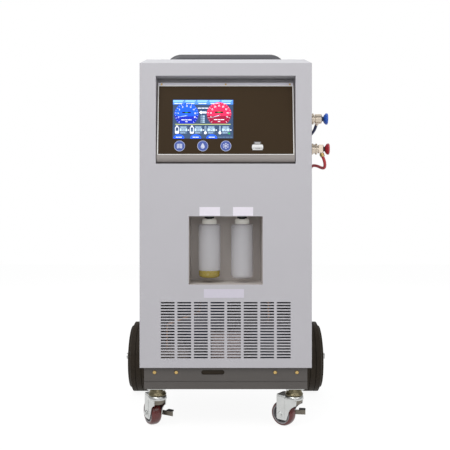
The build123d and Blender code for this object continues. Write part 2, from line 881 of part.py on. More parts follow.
def caster(side, trail_angle, name):
    """A braked swivel caster under a front corner, its wheel trailing at that angle from +X."""
    swivel_x = side * caster_x
    swivel_y = front_y + caster_setback
    trail = (cos(radians(trail_angle)), sin(radians(trail_angle)), 0)
    across = (trail[1], -trail[0], 0)
    wheel_radius = caster_wheel_diameter / 2
    race_bottom = chassis_bottom - caster_plate_thickness - race_height
    crown_top = race_bottom - running_gap
    crown_bottom = crown_top - crown_thickness
    hub_x = swivel_x + caster_trail * trail[0]
    hub_y = swivel_y + caster_trail * trail[1]

    def level(height):
        return Plane(origin=(swivel_x, swivel_y, height))

    def slice_plane(offset_across):
        """The upright plane across the wheel's axle, its local x along the trail and its local y up."""
        return Plane(
            origin=(swivel_x + offset_across * across[0], swivel_y + offset_across * across[1], 0),
            x_dir=trail,
            z_dir=across,
        )

    with BuildPart() as head:
        with BuildSketch(level(chassis_bottom)):
            RectangleRounded(caster_plate, caster_plate, 2 * caster_plate_thickness)
        extrude(amount=-caster_plate_thickness)
        with BuildSketch(level(race_bottom)):
            Circle(race_radius)
        extrude(amount=race_height)
        with BuildSketch(level(race_bottom)):
            Circle(kingpin_radius)
        extrude(amount=-crown_thickness - 2 * running_gap)
        with BuildSketch(level(crown_bottom - running_gap)):
            Circle(kingpin_flange)
        extrude(amount=-caster_plate_thickness)
    keep(head, f"caster_head_{name}")

    with BuildPart() as fork:
        with BuildSketch(level(crown_bottom)):
            Circle(crown_radius)
        extrude(amount=crown_thickness)
        for leg_start in (-fork_inside / 2 - fork_leg_wall, fork_inside / 2):
            with BuildSketch(slice_plane(leg_start)):
                with BuildLine():
                    Line((-crown_radius / 2, crown_top), (crown_radius, crown_top))
                    CenterArc((caster_trail, wheel_radius), wheel_radius / 3, 0, 360)
                make_hull()
            extrude(amount=fork_leg_wall)
        with BuildSketch(level(crown_bottom)):
            Circle(kingpin_radius + running_fit)
        extrude(amount=crown_thickness, mode=Mode.SUBTRACT)
        with BuildSketch(slice_plane(0)):
            with Locations((caster_trail, wheel_radius)):
                Circle(caster_bolt_radius + running_fit)
        extrude(amount=fork_inside, both=True, mode=Mode.SUBTRACT)

    with BuildPart() as tread:
        with BuildSketch(slice_plane(0)):
            with Locations((caster_trail, wheel_radius)):
                Circle(wheel_radius)
        extrude(amount=caster_tread_width / 2, both=True)
        fillet(tread.edges().filter_by(GeomType.CIRCLE), radius=caster_tread_thickness / 2)
        with BuildSketch(slice_plane(0)):
            with Locations((caster_trail, wheel_radius)):
                Circle(wheel_radius - caster_tread_thickness)
        extrude(amount=caster_tread_width, both=True, mode=Mode.SUBTRACT)
    keep(tread, f"caster_tread_{name}")

    with BuildPart() as core:
        with BuildSketch(slice_plane(0)):
            with Locations((caster_trail, wheel_radius)):
                Circle(wheel_radius - caster_tread_thickness)
                Circle(wheel_radius - 1.5 * caster_tread_thickness, mode=Mode.SUBTRACT)
        extrude(amount=caster_tread_width / 2, both=True)
        with BuildSketch(slice_plane(0)):
            with Locations((caster_trail, wheel_radius)):
                Circle(wheel_radius - caster_tread_thickness)
        extrude(amount=caster_tread_width / 8, both=True)
        with BuildSketch(slice_plane(0)):
            with Locations((caster_trail, wheel_radius)):
                Circle(3 * caster_bolt_radius)
        extrude(amount=fork_inside / 2 - running_gap, both=True)
        with BuildSketch(slice_plane(0)):
            with Locations((caster_trail, wheel_radius)):
                Circle(caster_bolt_radius + running_fit)
        extrude(amount=fork_inside, both=True, mode=Mode.SUBTRACT)
    keep(core, f"caster_core_{name}")

    fork_outside = fork_inside / 2 + fork_leg_wall
    nut_start = fork_outside + pedal_wall + 2 * running_gap
    with BuildPart() as bolt:
        with BuildSketch(slice_plane(-fork_outside)):
            with Locations((caster_trail, wheel_radius)):
                Circle(caster_bolt_radius)
        extrude(amount=fork_outside + nut_start)
        for head_start, outward in ((-fork_outside, -1), (nut_start, 1)):
            with BuildSketch(slice_plane(head_start)):
                with Locations((caster_trail, wheel_radius)):
                    RegularPolygon(caster_bolt_head, 6)
            extrude(amount=outward * caster_bolt_radius)
    keep_together((fork, bolt), f"caster_fork_{name}")

    pedal_start = fork_outside + running_gap
    plan = Plane(origin=(hub_x, hub_y, wheel_radius - pedal_height / 2), x_dir=across, z_dir=(0, 0, 1))
    arm_start = (pedal_start + pedal_wall / 2, -pedal_height)
    with BuildPart() as pedal:
        with BuildSketch(slice_plane(pedal_start)):
            with Locations((caster_trail, wheel_radius)):
                Circle(2 * caster_bolt_radius)
            with Locations((caster_trail - pedal_height / 2, wheel_radius)):
                Rectangle(pedal_height, pedal_height)
            with Locations((caster_trail, wheel_radius)):
                Circle(caster_bolt_radius + running_fit, mode=Mode.SUBTRACT)
        extrude(amount=pedal_wall)
        with BuildSketch(plan):
            with Locations(arm_start):
                Rectangle(
                    pedal_length - pedal_height / 2,
                    pedal_wall,
                    rotation=-pedal_angle,
                    align=(Align.MIN, Align.CENTER),
                )
        extrude(amount=pedal_height)
        with BuildSketch(plan.offset(pedal_height)):
            with Locations(arm_start):
                with Locations(Rotation(0, 0, -pedal_angle)):
                    with Locations((pedal_length - pedal_height / 2 - pedal_pad_length / 2, 0)):
                        RectangleRounded(pedal_pad_length, pedal_pad_width, pedal_wall)
        extrude(amount=pedal_wall)
    keep(pedal, f"brake_pedal_{name}")


caster(-1, caster_trail_left, "left")
caster(1, caster_trail_right, "right")


# Service couplers, parked on two ports that stand out of the right side panel
def coupler_plane(coupler_z, reach):
    """The plane across a coupler's axis, that far out from the side panel."""
    origin = (side_x + reach, front_y + coupler_setback, coupler_z)
    return Plane(origin=origin, x_dir=(0, 1, 0), z_dir=(1, 0, 0))


with BuildPart() as parking_ports:
    for coupler_z in (low_coupler_z, high_coupler_z):
        with BuildSketch(coupler_plane(coupler_z, 0)):
            Circle(port_flange_radius)
        extrude(amount=port_flange_thickness)
        with BuildSketch(coupler_plane(coupler_z, -sheet - port_nut_thickness)):
            Circle(port_radius)
        extrude(amount=sheet + port_nut_thickness + port_flange_thickness + port_length)
        with BuildSketch(coupler_plane(coupler_z, -sheet)):
            RegularPolygon(port_nut_radius, 6)
        extrude(amount=-port_nut_thickness)
keep(parking_ports, "parking_ports")


def coupler_section(coupler_z):
    """The upright plane through a coupler's axis, its local x pointing out of the side panel."""
    origin = (side_x, front_y + coupler_setback, coupler_z)
    return Plane(origin=origin, x_dir=(1, 0, 0), z_dir=(0, -1, 0))


def coupler(coupler_z, barrel_length, body_length, body_outline, name):
    """A coupler's body with its barrel over the port, its sliding sleeve and its screw knob."""
    body_start = barrel_start + barrel_length
    body_end = body_start + body_length
    with BuildPart() as body:
        with BuildSketch(coupler_plane(coupler_z, barrel_start)):
            Circle(barrel_radius)
        extrude(amount=barrel_length)
        with BuildSketch(coupler_plane(coupler_z, body_start)):
            add(body_outline)
        extrude(amount=body_length)
        chamfer(body.faces().sort_by(Axis.X)[-1].edges(), length=body_chamfer)
        with BuildSketch(coupler_plane(coupler_z, barrel_start)):
            Circle(port_radius + running_fit)
        extrude(amount=port_flange_thickness + port_length - barrel_start + port_end_gap, mode=Mode.SUBTRACT)
        with BuildSketch(coupler_plane(coupler_z, body_end)):
            Circle(spindle_radius + running_fit)
        extrude(amount=-2 * spindle_radius, mode=Mode.SUBTRACT)

    sleeve_start = body_start - sleeve_length - sleeve_travel - running_gap
    with BuildPart() as sleeve:
        with BuildSketch(coupler_plane(coupler_z, sleeve_start)):
            Circle(sleeve_radius)
        extrude(amount=sleeve_length)
        for flange_start in (sleeve_start, sleeve_start + sleeve_length - sleeve_flange_width):
            with BuildSketch(coupler_plane(coupler_z, flange_start)):
                Circle(sleeve_flange_radius)
            extrude(amount=sleeve_flange_width)
        with BuildSketch(coupler_plane(coupler_z, sleeve_start)):
            Circle(barrel_radius + running_fit)
        extrude(amount=sleeve_length, mode=Mode.SUBTRACT)
    keep(sleeve, f"{name}_coupler_sleeve")

    spindle_start = body_end - 2 * spindle_radius + running_gap
    neck_start = body_end + running_gap
    cone_start = neck_start + knob_stem_length
    knob_end = cone_start + knob_length
    with BuildPart() as knob:
        with BuildSketch(coupler_section(coupler_z)):
            with BuildLine():
                Polyline(
                    (spindle_start, 0),
                    (spindle_start, spindle_radius),
                    (neck_start, spindle_radius),
                    (neck_start, knob_stem_radius),
                    (cone_start, knob_stem_radius + knob_edge),
                    (knob_end - knob_rim, knob_radius),
                    (knob_end - knob_edge, knob_radius),
                    (knob_end, knob_radius - knob_edge),
                    (knob_end, 0),
                    close=True,
                )
            make_face()
        revolve(axis=Axis((side_x, front_y + coupler_setback, coupler_z), (1, 0, 0)))
        with BuildSketch(coupler_plane(coupler_z, knob_end)):
            with PolarLocations(knob_radius + knob_edge, knob_flutes):
                Circle(knob_flute_radius)
        extrude(amount=-knob_length, mode=Mode.SUBTRACT)
    keep(knob, f"{name}_coupler_knob")
    return body


with BuildSketch() as low_outline:
    Circle(low_body_radius)
with BuildSketch() as high_outline:
    Rectangle(high_body_side, high_body_side)
low_body = coupler(low_coupler_z, low_barrel_length, low_body_length, low_outline.sketch, "low")
high_body = coupler(high_coupler_z, high_barrel_length, high_body_length, high_outline.sketch, "high")

# Ferrules: the low one leaves the back of its round body, the high one the bottom of its block
low_middle = side_x + barrel_start + low_barrel_length + low_body_length / 2
high_middle = side_x + barrel_start + high_barrel_length + high_body_length / 2
coupler_y = front_y + coupler_setback
low_exit = (0, cos(radians(low_ferrule_lean)), -sin(radians(low_ferrule_lean)))
high_exit = (sin(radians(high_ferrule_lean)), 0, -cos(radians(high_ferrule_lean)))


def along(start, direction, distance):
    """The point that far from a start along a unit direction."""
    return tuple(s + distance * d for s, d in zip(start, direction))


low_centre = (low_middle, coupler_y, low_coupler_z)
high_centre = (high_middle - ferrule_radius / 2, coupler_y, high_coupler_z)
low_root = along(low_centre, low_exit, low_body_radius)
high_root = along(high_centre, high_exit, high_body_side / 2 / cos(radians(high_ferrule_lean)))
low_end = along(low_root, low_exit, ferrule_length)
high_end = along(high_root, high_exit, high_ferrule_length)

for body, root, direction, length, name in (
    (low_body, low_root, low_exit, ferrule_length, "low"),
    (high_body, high_root, high_exit, high_ferrule_length, "high"),
):
    with BuildPart() as ferrule:
        with BuildSketch(Plane(origin=root, z_dir=direction)):
            Circle(ferrule_radius)
        extrude(amount=length)
        with BuildSketch(Plane(origin=along(root, direction, length / 3), z_dir=direction)):
            Circle(ferrule_radius + ferrule_bead)
        extrude(amount=length / 6)
        if name == "low":
            with BuildSketch(coupler_plane(low_coupler_z, 0)):
                Circle(low_body_radius)
            extrude(amount=4 * low_body_length, mode=Mode.SUBTRACT)
        else:
            with BuildSketch(coupler_plane(high_coupler_z, 0)):
                Rectangle(high_body_side, high_body_side)
            extrude(amount=8 * high_body_length, mode=Mode.SUBTRACT)
    keep_together((body, ferrule), f"{name}_coupler_body")

# Hoses: each runs from its ferrule to the top of its coil, which hangs on a hook beside the right side panel
coil_x = side_x + coil_panel_gap + hose_radius
coil_outer_x = coil_x + (coil_columns - 1) * hose_pitch
coil_y = front_y + coil_setback
coil_outer = coil_inner + hose_pitch


def hose_path(points):
    """Straight runs joined by arcs that take 0.45 of the shorter run at each corner."""
    radii = []
    for before, corner, after in zip(points, points[1:], points[2:]):
        first = Vector(*corner) - Vector(*before)
        second = Vector(*after) - Vector(*corner)
        half_turn = radians(first.get_angle(second)) / 2
        radii.append(0.45 * min(first.length, second.length) / tan(half_turn))
    print("hose radii", [round(radius) for radius in radii])
    with BuildLine() as path:
        FilletPolyline(*points, radius=radii)
    return path


low_route = [
    low_end,
    along(low_end, low_exit, low_first_run),
    (302.5, front_y + 262, 944),
    (301, front_y + 312, 940),
    (298, front_y + 362, 935.5),
    (coil_outer_x, coil_y, low_coil_z + coil_outer),
]
high_route = [
    high_end,
    along(high_end, high_exit, high_first_run),
    (325, front_y + 158, 819),
    (325, front_y + 173, 810.5),
    (321, front_y + 200, 813),
    (310, front_y + 240, 824),
    (301, front_y + 288, 829),
    (298, front_y + 338, 814),
    (297.4, front_y + 378, 778),
    (coil_outer_x, coil_y, high_coil_z + coil_outer),
]
for route, coil_z, name in ((low_route, low_coil_z, "low"), (high_route, high_coil_z, "high")):
    path = hose_path(route)
    with BuildPart() as hose:
        with BuildSketch(Plane(origin=path.line @ 0, z_dir=path.line % 0)):
            Circle(hose_radius)
        sweep(path=path.line)
    length = sum(edge.length for edge in path.edges())
    section = pi * hose_radius**2
    print(name, "hose length", round(length), "volume over section", round(hose.part.volume / section))
    keep(hose, f"{name}_hose")
    with BuildPart() as coil:
        coil_centre = ((coil_x + coil_outer_x) / 2, coil_y, coil_z)
        with BuildSketch(Plane(origin=coil_centre, x_dir=(1, 0, 0), z_dir=(0, -1, 0))):
            with Locations((0, coil_inner + hose_pitch / 2)):
                RectangleRounded(coil_columns * hose_pitch, 2 * hose_pitch, 0.8 * hose_radius)
        revolve(axis=Axis((0, coil_y, coil_z), (1, 0, 0)))
    keep(coil, f"{name}_hose_coil")

# A hook inside the top of each coil, and an elbow in the side panel that takes the end of each hose
with BuildPart() as hose_hooks:
    for coil_z in (low_coil_z, high_coil_z):
        hook_z = coil_z + coil_inner - hose_radius - running_gap - hook_radius
        hook_end = coil_outer_x + hose_radius + hook_radius + hook_gap
        with BuildSketch(Plane(origin=(side_x, coil_y, hook_z), z_dir=(1, 0, 0))):
            Circle(hook_radius)
        extrude(amount=hook_end - side_x)
        with BuildSketch(Plane(origin=(hook_end, coil_y, hook_z))):
            Circle(hook_radius)
        extrude(amount=hook_tip)
        with BuildSketch(Plane(origin=(hook_end, coil_y, hook_z))):
            Circle(hook_radius)
        extrude(amount=-hook_radius)
        with BuildSketch(Plane(origin=(side_x, coil_y, hook_z), z_dir=(1, 0, 0))):
            Circle(2 * hook_radius)
        extrude(amount=sheet)

with BuildPart() as hose_elbows:
    for coil_z in (low_coil_z, high_coil_z):
        barb_top = coil_z - elbow_side
        with BuildSketch(Plane(origin=(coil_x, coil_y + coil_outer, barb_top))):
            Circle(barb_radius)
        extrude(amount=-barb_length)
        elbow_width = coil_x + elbow_side / 2 - side_x
        elbow_centre = (side_x + elbow_width / 2, coil_y + coil_outer, barb_top - barb_length)
        with BuildSketch(Plane(origin=elbow_centre)):
            Rectangle(elbow_width, elbow_side)
        extrude(amount=-elbow_side)
keep_together((hose_hooks, hose_elbows), "hose_fittings")

# Mounting plate across the cabinet, its flanges against the side panels
plate_y = front_y + plate_setback
plate_rear = plate_y + sheet
plate_top = plate_bottom + plate_height
manifold_z = plate_bottom + manifold_rise
drier_z = plate_top - drier_drop
board_z = plate_top - board_drop
with BuildPart() as mounting_plate:
    plate_width = cabinet_width - 2 * sheet
    with BuildSketch(depth_plane(plate_setback)):
        with Locations((0, plate_bottom + plate_height / 2)):
            Rectangle(plate_width, plate_height)
    extrude(amount=-plate_flange)
    with BuildSketch(depth_plane(plate_setback + sheet)):
        with Locations((0, plate_bottom + plate_height / 2)):
            Rectangle(plate_width - 2 * sheet, plate_height)
    extrude(amount=-plate_flange, mode=Mode.SUBTRACT)
keep(mounting_plate, "mounting_plate")

# Scale platform on four feet, with the refrigerant tank on it
tank_y = front_y + tank_setback
scale_top = chassis_floor + scale_height
with BuildPart() as scale_platform:
    with BuildSketch(Plane(origin=(tank_x, tank_y, scale_top))):
        RectangleRounded(scale_side, scale_side, scale_foot_radius)
    extrude(amount=-scale_height / 2)
    with BuildSketch(Plane(origin=(tank_x, tank_y, chassis_floor))):
        with GridLocations(scale_side - 4 * scale_foot_radius, scale_side - 4 * scale_foot_radius, 2, 2):
            Circle(scale_foot_radius)
    extrude(amount=scale_height / 2)
keep(scale_platform, "scale_platform")

tank_foot = Plane(origin=(tank_x, tank_y, scale_top + tank_foot_height))
tank_shell = vessel(
    tank_foot, tank_radius, tank_height, tank_radius / 2, tank_radius / 2, tank_wall, tank_port_radius
)
with BuildPart() as refrigerant_tank:
    add(tank_shell.part)
    with BuildSketch(tank_foot.offset(-tank_foot_height)):
        Circle(2 * tank_radius / 3)
        Circle(2 * tank_radius / 3 - tank_wall, mode=Mode.SUBTRACT)
    extrude(amount=tank_foot_height + tank_wall)

with BuildPart() as tank_valve:
    with BuildSketch(tank_foot.offset(tank_height)):
        Circle(1.3 * tank_port_radius)
    extrude(amount=valve_height / 3)
    with BuildSketch(tank_foot.offset(tank_height)):
        Circle(tank_port_radius)
    extrude(amount=-tank_wall)
    with BuildSketch(tank_foot.offset(tank_height + valve_height / 3)):
        Rectangle(valve_width, valve_depth)
    extrude(amount=valve_height / 2)
keep_together((refrigerant_tank, tank_valve), "refrigerant_tank")

# Vacuum pump: an oil case at the front and a finned motor behind it
pump_floor = Plane(origin=(pump_x, front_y + pump_setback, chassis_floor))
pump_axis_z = chassis_floor + pump_foot_height + pump_motor_radius
with BuildPart() as vacuum_pump:
    with BuildSketch(pump_floor):
        Rectangle(pump_case_width, pump_case_length, align=(Align.CENTER, Align.MIN))
    extrude(amount=pump_case_height + pump_foot_height)
    fillet(vacuum_pump.edges().filter_by(Axis.Z), radius=pump_corner)
    fillet(vacuum_pump.faces().sort_by(Axis.Z)[-1].edges(), radius=pump_edge)

with BuildPart() as pump_motor:
    motor_y = front_y + pump_setback + pump_case_length
    with BuildSketch(Plane(origin=(pump_x, motor_y, pump_axis_z), x_dir=(1, 0, 0), z_dir=(0, 1, 0))):
        Circle(pump_motor_radius - fin_height)
        with PolarLocations(pump_motor_radius - fin_height, fin_count):
            Rectangle(2 * fin_height, fin_thickness)
    extrude(amount=pump_motor_length)
    with BuildSketch(Plane(origin=(pump_x, motor_y, chassis_floor))):
        with Locations((0, pump_motor_length / 2)):
            Rectangle(pump_motor_radius, pump_motor_length / 2)
    extrude(amount=pump_foot_height + 2 * fin_height)
keep_together((vacuum_pump, pump_motor), "vacuum_pump")

with BuildPart() as oil_separator:
    separator_y = front_y + separator_setback + separator_depth / 2
    with BuildSketch(Plane(origin=(separator_x, separator_y, chassis_floor))):
        RectangleRounded(separator_width, separator_depth, separator_corner)
    extrude(amount=separator_height)
    fillet(oil_separator.faces().sort_by(Axis.Z)[-1].edges(), radius=separator_edge)
keep(oil_separator, "oil_separator")

# Compressor: a hollow pot on a base plate with four rubber feet
compressor_y = front_y + compressor_setback
compressor_base = Plane(origin=(compressor_x, compressor_y, chassis_floor + compressor_foot))
compressor_shell = vessel(
    compressor_base.offset(compressor_wall),
    compressor_radius,
    compressor_height,
    compressor_radius / 4,
    compressor_radius / 2,
    compressor_wall,
    pipe_radius,
)
with BuildPart() as compressor:
    add(compressor_shell.part)
    with BuildSketch(compressor_base):
        RectangleRounded(2 * compressor_radius, 2 * compressor_radius, compressor_foot)
    extrude(amount=compressor_wall)

with BuildPart() as compressor_feet:
    foot_spacing = 2 * compressor_radius - 2 * compressor_foot
    with BuildSketch(Plane(origin=(compressor_x, compressor_y, chassis_floor))):
        with GridLocations(foot_spacing, foot_spacing, 2, 2):
            Circle(compressor_foot_radius)
    extrude(amount=compressor_foot)
keep_together((compressor, compressor_feet), "compressor")

# Condenser on the chassis step, with the fan between it and the rear panel's vents
fan_rear = rear_y - sheet
fan_front = fan_rear - fan_depth
condenser_y = fan_front - condenser_depth / 2
fin_pitch = (condenser_width - 2 * condenser_rim) / condenser_fins
with BuildPart() as condenser:
    with BuildSketch(Plane(origin=(condenser_x, condenser_y, step_floor))):
        Rectangle(condenser_width, condenser_depth)
        with Locations((0, condenser_depth / 2)):
            with GridLocations(fin_pitch, 1, condenser_fins, 1):
                Rectangle(fin_pitch / 2, condenser_depth, mode=Mode.SUBTRACT)
    extrude(amount=condenser_height)
keep(condenser, "condenser")

fan_plane = Plane(origin=(condenser_x, fan_front, fan_z), x_dir=(1, 0, 0), z_dir=(0, 1, 0))
with BuildPart() as fan_frame:
    with BuildSketch(fan_plane):
        RectangleRounded(fan_side, fan_side, fan_arm)
        Circle(fan_bore, mode=Mode.SUBTRACT)
        Circle(fan_hub_radius)
    extrude(amount=fan_arm_thickness)
    with BuildSketch(fan_plane):
        Rectangle(fan_side - fan_arm, fan_arm)
        Rectangle(fan_arm, fan_side - fan_arm)
    extrude(amount=fan_arm_thickness)
    with BuildSketch(fan_plane):
        RectangleRounded(fan_side, fan_side, fan_arm)
        Circle(fan_bore, mode=Mode.SUBTRACT)
    extrude(amount=fan_depth)
    with BuildSketch(fan_plane):
        Circle(fan_shaft_radius)
    extrude(amount=fan_depth - fan_arm_thickness)
keep(fan_frame, "fan_frame")

with BuildPart() as fan_rotor:
    hub_start = fan_arm_thickness + running_gap
    hub_length = fan_depth - 2 * fan_arm_thickness - hub_start
    with BuildSketch(fan_plane.offset(hub_start)):
        Circle(fan_hub_radius)
    extrude(amount=hub_length)
    blade_root = fan_hub_radius - fan_arm_thickness
    for blade in range(fan_blades):
        turn = 2 * pi * blade / fan_blades
        outward = (cos(turn), 0, sin(turn))
        sideways = (sin(turn), 0, -cos(turn))
        root_point = (
            condenser_x + blade_root * outward[0],
            fan_front + hub_start + hub_length / 2,
            fan_z + blade_root * outward[2],
        )
        with BuildSketch(Plane(origin=root_point, x_dir=sideways, z_dir=outward)):
            Rectangle(fan_blade_width, fan_blade_thickness, rotation=fan_blade_pitch)
        extrude(amount=fan_bore - fan_tip_gap - blade_root)
    with BuildSketch(fan_plane):
        Circle(fan_shaft_radius + running_fit)
    extrude(amount=fan_depth, mode=Mode.SUBTRACT)
keep(fan_rotor, "fan_rotor")

# Valve manifold with its solenoids, and the filter drier, on the back of the mounting plate
manifold_middle = plate_rear + manifold_depth / 2
with BuildPart() as valve_manifold:
    with BuildSketch(Plane(origin=(0, manifold_middle, manifold_z))):
        Rectangle(manifold_width, manifold_depth)
    extrude(amount=manifold_height)
    chamfer(valve_manifold.edges().filter_by(Axis.X), length=manifold_edge)

with BuildPart() as solenoid_valves:
    with BuildSketch(Plane(origin=(0, manifold_middle, manifold_z + manifold_height))):
        with GridLocations(manifold_width / solenoid_count, 1, solenoid_count, 1):
            Circle(solenoid_radius)
    extrude(amount=solenoid_height)
keep_together((valve_manifold, solenoid_valves), "valve_manifold")

with BuildPart() as filter_drier:
    drier_y = plate_rear + drier_radius + drier_gap
    with BuildSketch(Plane(origin=(drier_x, drier_y, drier_z))):
        Circle(drier_radius)
    extrude(amount=drier_height)
    fillet(filter_drier.edges().filter_by(GeomType.CIRCLE), radius=drier_edge)
    with BuildSketch(Plane(origin=(drier_x, (plate_rear + drier_y) / 2, drier_z + drier_height / 3))):
        Rectangle(drier_radius, drier_y - plate_rear)
    extrude(amount=drier_height / 3)
keep(filter_drier, "filter_drier")

# Control board on standoffs, on the front of the mounting plate behind the console
with BuildPart() as control_board:
    with BuildSketch(depth_plane(plate_setback - standoff)):
        with Locations((0, board_z)):
            Rectangle(board_width, board_height)
    extrude(amount=board_thickness)
    with BuildSketch(depth_plane(plate_setback - standoff)):
        with Locations((0, board_z)):
            with GridLocations(board_width - 2 * standoff_inset, board_height - 2 * standoff_inset, 2, 2):
                Circle(standoff_radius)
    extrude(amount=-standoff)
    with BuildSketch(depth_plane(plate_setback - standoff - board_thickness)):
        with Locations((relay_x, board_z + board_part_rise)):
            Rectangle(relay_side, relay_side)
        with Locations((driver_x, board_z - board_part_rise)):
            Rectangle(driver_width, driver_height)
    extrude(amount=board_part_depth)
keep(control_board, "control_board")

# Copper pipes: the pump's suction pipe up to the plate, and the compressor's discharge pipe to the condenser
pump_top = chassis_floor + pump_case_height + pump_foot_height
compressor_top = chassis_floor + compressor_foot + compressor_wall + compressor_height
suction_start = (pump_x - suction_inset, front_y + pump_setback + pump_case_length / 2)
niche_clear_y = front_y + niche_depth + plate_flange
suction = [
    (*suction_start, pump_top),
    (*suction_start, pump_top + pipe_rise),
    (suction_pipe_x, front_y + pump_setback + pump_case_length, pump_top + 1.5 * pipe_rise),
    (suction_pipe_x, niche_clear_y, pump_top + 2.5 * pipe_rise),
    (suction_pipe_x, niche_clear_y, plate_bottom + suction_pipe_entry),
    (suction_pipe_x, plate_y, plate_bottom + suction_pipe_entry),
]
discharge = [
    (compressor_x, compressor_y, compressor_top),
    (compressor_x, compressor_y, compressor_top + pipe_rise),
    (condenser_x, condenser_y, compressor_top + pipe_rise),
    (condenser_x, condenser_y, step_floor + condenser_height),
]
with BuildPart() as copper_pipes:
    for corners in (suction, discharge):
        with BuildLine() as pipe_path:
            FilletPolyline(*corners, radius=pipe_bend)
        with BuildSketch(Plane(origin=corners[0])):
            Circle(pipe_radius)
        sweep(path=pipe_path.line)
keep(copper_pipes, "copper_pipes")

# Power inlet: a socket with three blades, and a rocker switch above it
service_face = rear_y + sheet
inlet_plane = Plane(origin=(inlet_x, service_face, inlet_z), x_dir=(-1, 0, 0), z_dir=(0, 1, 0))
with BuildPart() as power_inlet:
    with BuildSketch(inlet_plane):
        RectangleRounded(inlet_width + 2 * bezel_edge, inlet_height + 2 * bezel_edge, bezel_corner)
    extrude(amount=bezel_thickness)
    with BuildSketch(inlet_plane):
        Rectangle(inlet_width - 2 * running_gap, inlet_height - 2 * running_gap)
    extrude(amount=-inlet_depth)
    with BuildSketch(inlet_plane.offset(bezel_thickness)):
        Rectangle(socket_width, socket_height)
    extrude(amount=-socket_floor - bezel_thickness, mode=Mode.SUBTRACT)

with BuildPart() as inlet_blades:
    with BuildSketch(inlet_plane.offset(-socket_floor)):
        with GridLocations(blade_spacing, 1, 3, 1):
            Rectangle(blade_width, blade_height)
    extrude(amount=blade_length)

rocker_radius = rocker_height / 2
rocker_plane = Plane(origin=(inlet_x, service_face, rocker_z), x_dir=(-1, 0, 0), z_dir=(0, 1, 0))
with BuildPart() as switch_bezel:
    with BuildSketch(rocker_plane):
        RectangleRounded(rocker_hole_width + bezel_edge, rocker_hole_height + bezel_edge, bezel_thickness)
    extrude(amount=bezel_thickness)
    with BuildSketch(rocker_plane):
        Rectangle(rocker_hole_width - 2 * running_gap, rocker_hole_height - 2 * running_gap)
    extrude(amount=-rocker_depth)
    with BuildSketch(rocker_plane.offset(bezel_thickness)):
        Rectangle(rocker_width + 2 * running_gap, rocker_height + 2 * running_gap)
    extrude(amount=-rocker_depth, mode=Mode.SUBTRACT)
keep_together((power_inlet, inlet_blades, switch_bezel), "power_inlet")

rocker_side = (inlet_x - rocker_width / 2, service_face - rocker_inset, rocker_z)
with BuildPart() as power_switch:
    with BuildSketch(Plane(origin=rocker_side, x_dir=(0, 1, 0), z_dir=(1, 0, 0))):
        Circle(rocker_radius)
        with Locations((rocker_flat, 0)):
            Rectangle(rocker_radius, 3 * rocker_radius, align=(Align.MIN, Align.CENTER), mode=Mode.SUBTRACT)
    extrude(amount=rocker_width)
keep(power_switch, "power_switch")
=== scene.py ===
import json
from math import cos, pi, radians, sin

import bmesh
import bpy
from mathutils import Matrix, Vector


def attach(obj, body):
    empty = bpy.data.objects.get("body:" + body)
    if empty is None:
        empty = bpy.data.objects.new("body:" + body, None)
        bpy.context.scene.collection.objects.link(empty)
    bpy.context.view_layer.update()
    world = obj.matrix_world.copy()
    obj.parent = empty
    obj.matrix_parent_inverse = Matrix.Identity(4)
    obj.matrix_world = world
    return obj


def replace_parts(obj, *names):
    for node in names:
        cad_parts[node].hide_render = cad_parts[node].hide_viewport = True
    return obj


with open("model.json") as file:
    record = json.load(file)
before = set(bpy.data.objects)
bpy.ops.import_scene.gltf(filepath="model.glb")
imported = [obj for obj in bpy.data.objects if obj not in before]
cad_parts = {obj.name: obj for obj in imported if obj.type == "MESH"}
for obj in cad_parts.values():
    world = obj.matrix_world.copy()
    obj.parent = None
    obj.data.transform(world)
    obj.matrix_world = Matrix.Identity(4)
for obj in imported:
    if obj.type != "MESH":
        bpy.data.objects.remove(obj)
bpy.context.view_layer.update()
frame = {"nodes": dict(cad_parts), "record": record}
nodes = frame["nodes"]
FRONT = -0.290
REAR = 0.200
SIDE = 0.260

# Camera: level, on the centre line, 1.85 m in front of the front panel
CAMERA_DISTANCE = 1.85
CAMERA_HEIGHT = 0.656
view = bpy.data.cameras.new("camera")
view.lens = 49.09
view.sensor_width = 36
view.shift_x = -0.0016
view.shift_y = -0.0222
camera = bpy.data.objects.new("camera", view)
camera.location = (0, FRONT - CAMERA_DISTANCE, CAMERA_HEIGHT)
camera.rotation_euler = (radians(90), 0, 0)
bpy.context.scene.collection.objects.link(camera)
bpy.context.scene.camera = camera

# Hoses: the route's points are those of part.py, and the turns wind column by column towards the panel
LOW_ROUTE = [
    (0.3015, -0.10366, 0.95789),
    (0.3015, -0.07210, 0.94824),
    (0.3025, -0.028, 0.944),
    (0.301, 0.022, 0.940),
    (0.298, 0.072, 0.9355),
]
HIGH_ROUTE = [
    (0.31637, -0.140, 0.84595),
    (0.32162, -0.140, 0.83297),
    (0.325, -0.132, 0.819),
    (0.325, -0.117, 0.8105),
    (0.321, -0.090, 0.813),
    (0.310, -0.050, 0.824),
    (0.301, -0.002, 0.829),
    (0.298, 0.048, 0.814),
    (0.2974, 0.088, 0.778),
]
COIL_Y = 0.122
COLUMNS = (0.297, 0.297, 0.287, 0.287, 0.277, 0.277, 0.267, 0.267)
COIL_RADII = (0.055, 0.045, 0.045, 0.055, 0.055, 0.045, 0.045, 0.055)
TURN_POINTS = 16
STEP_POINTS = 4
TURN_SWELL = 1.012
BARB_DROP = 0.013
HOSE_RADIUS = 0.005
LOW_COIL_Z = 0.880
HIGH_COIL_Z = 0.722


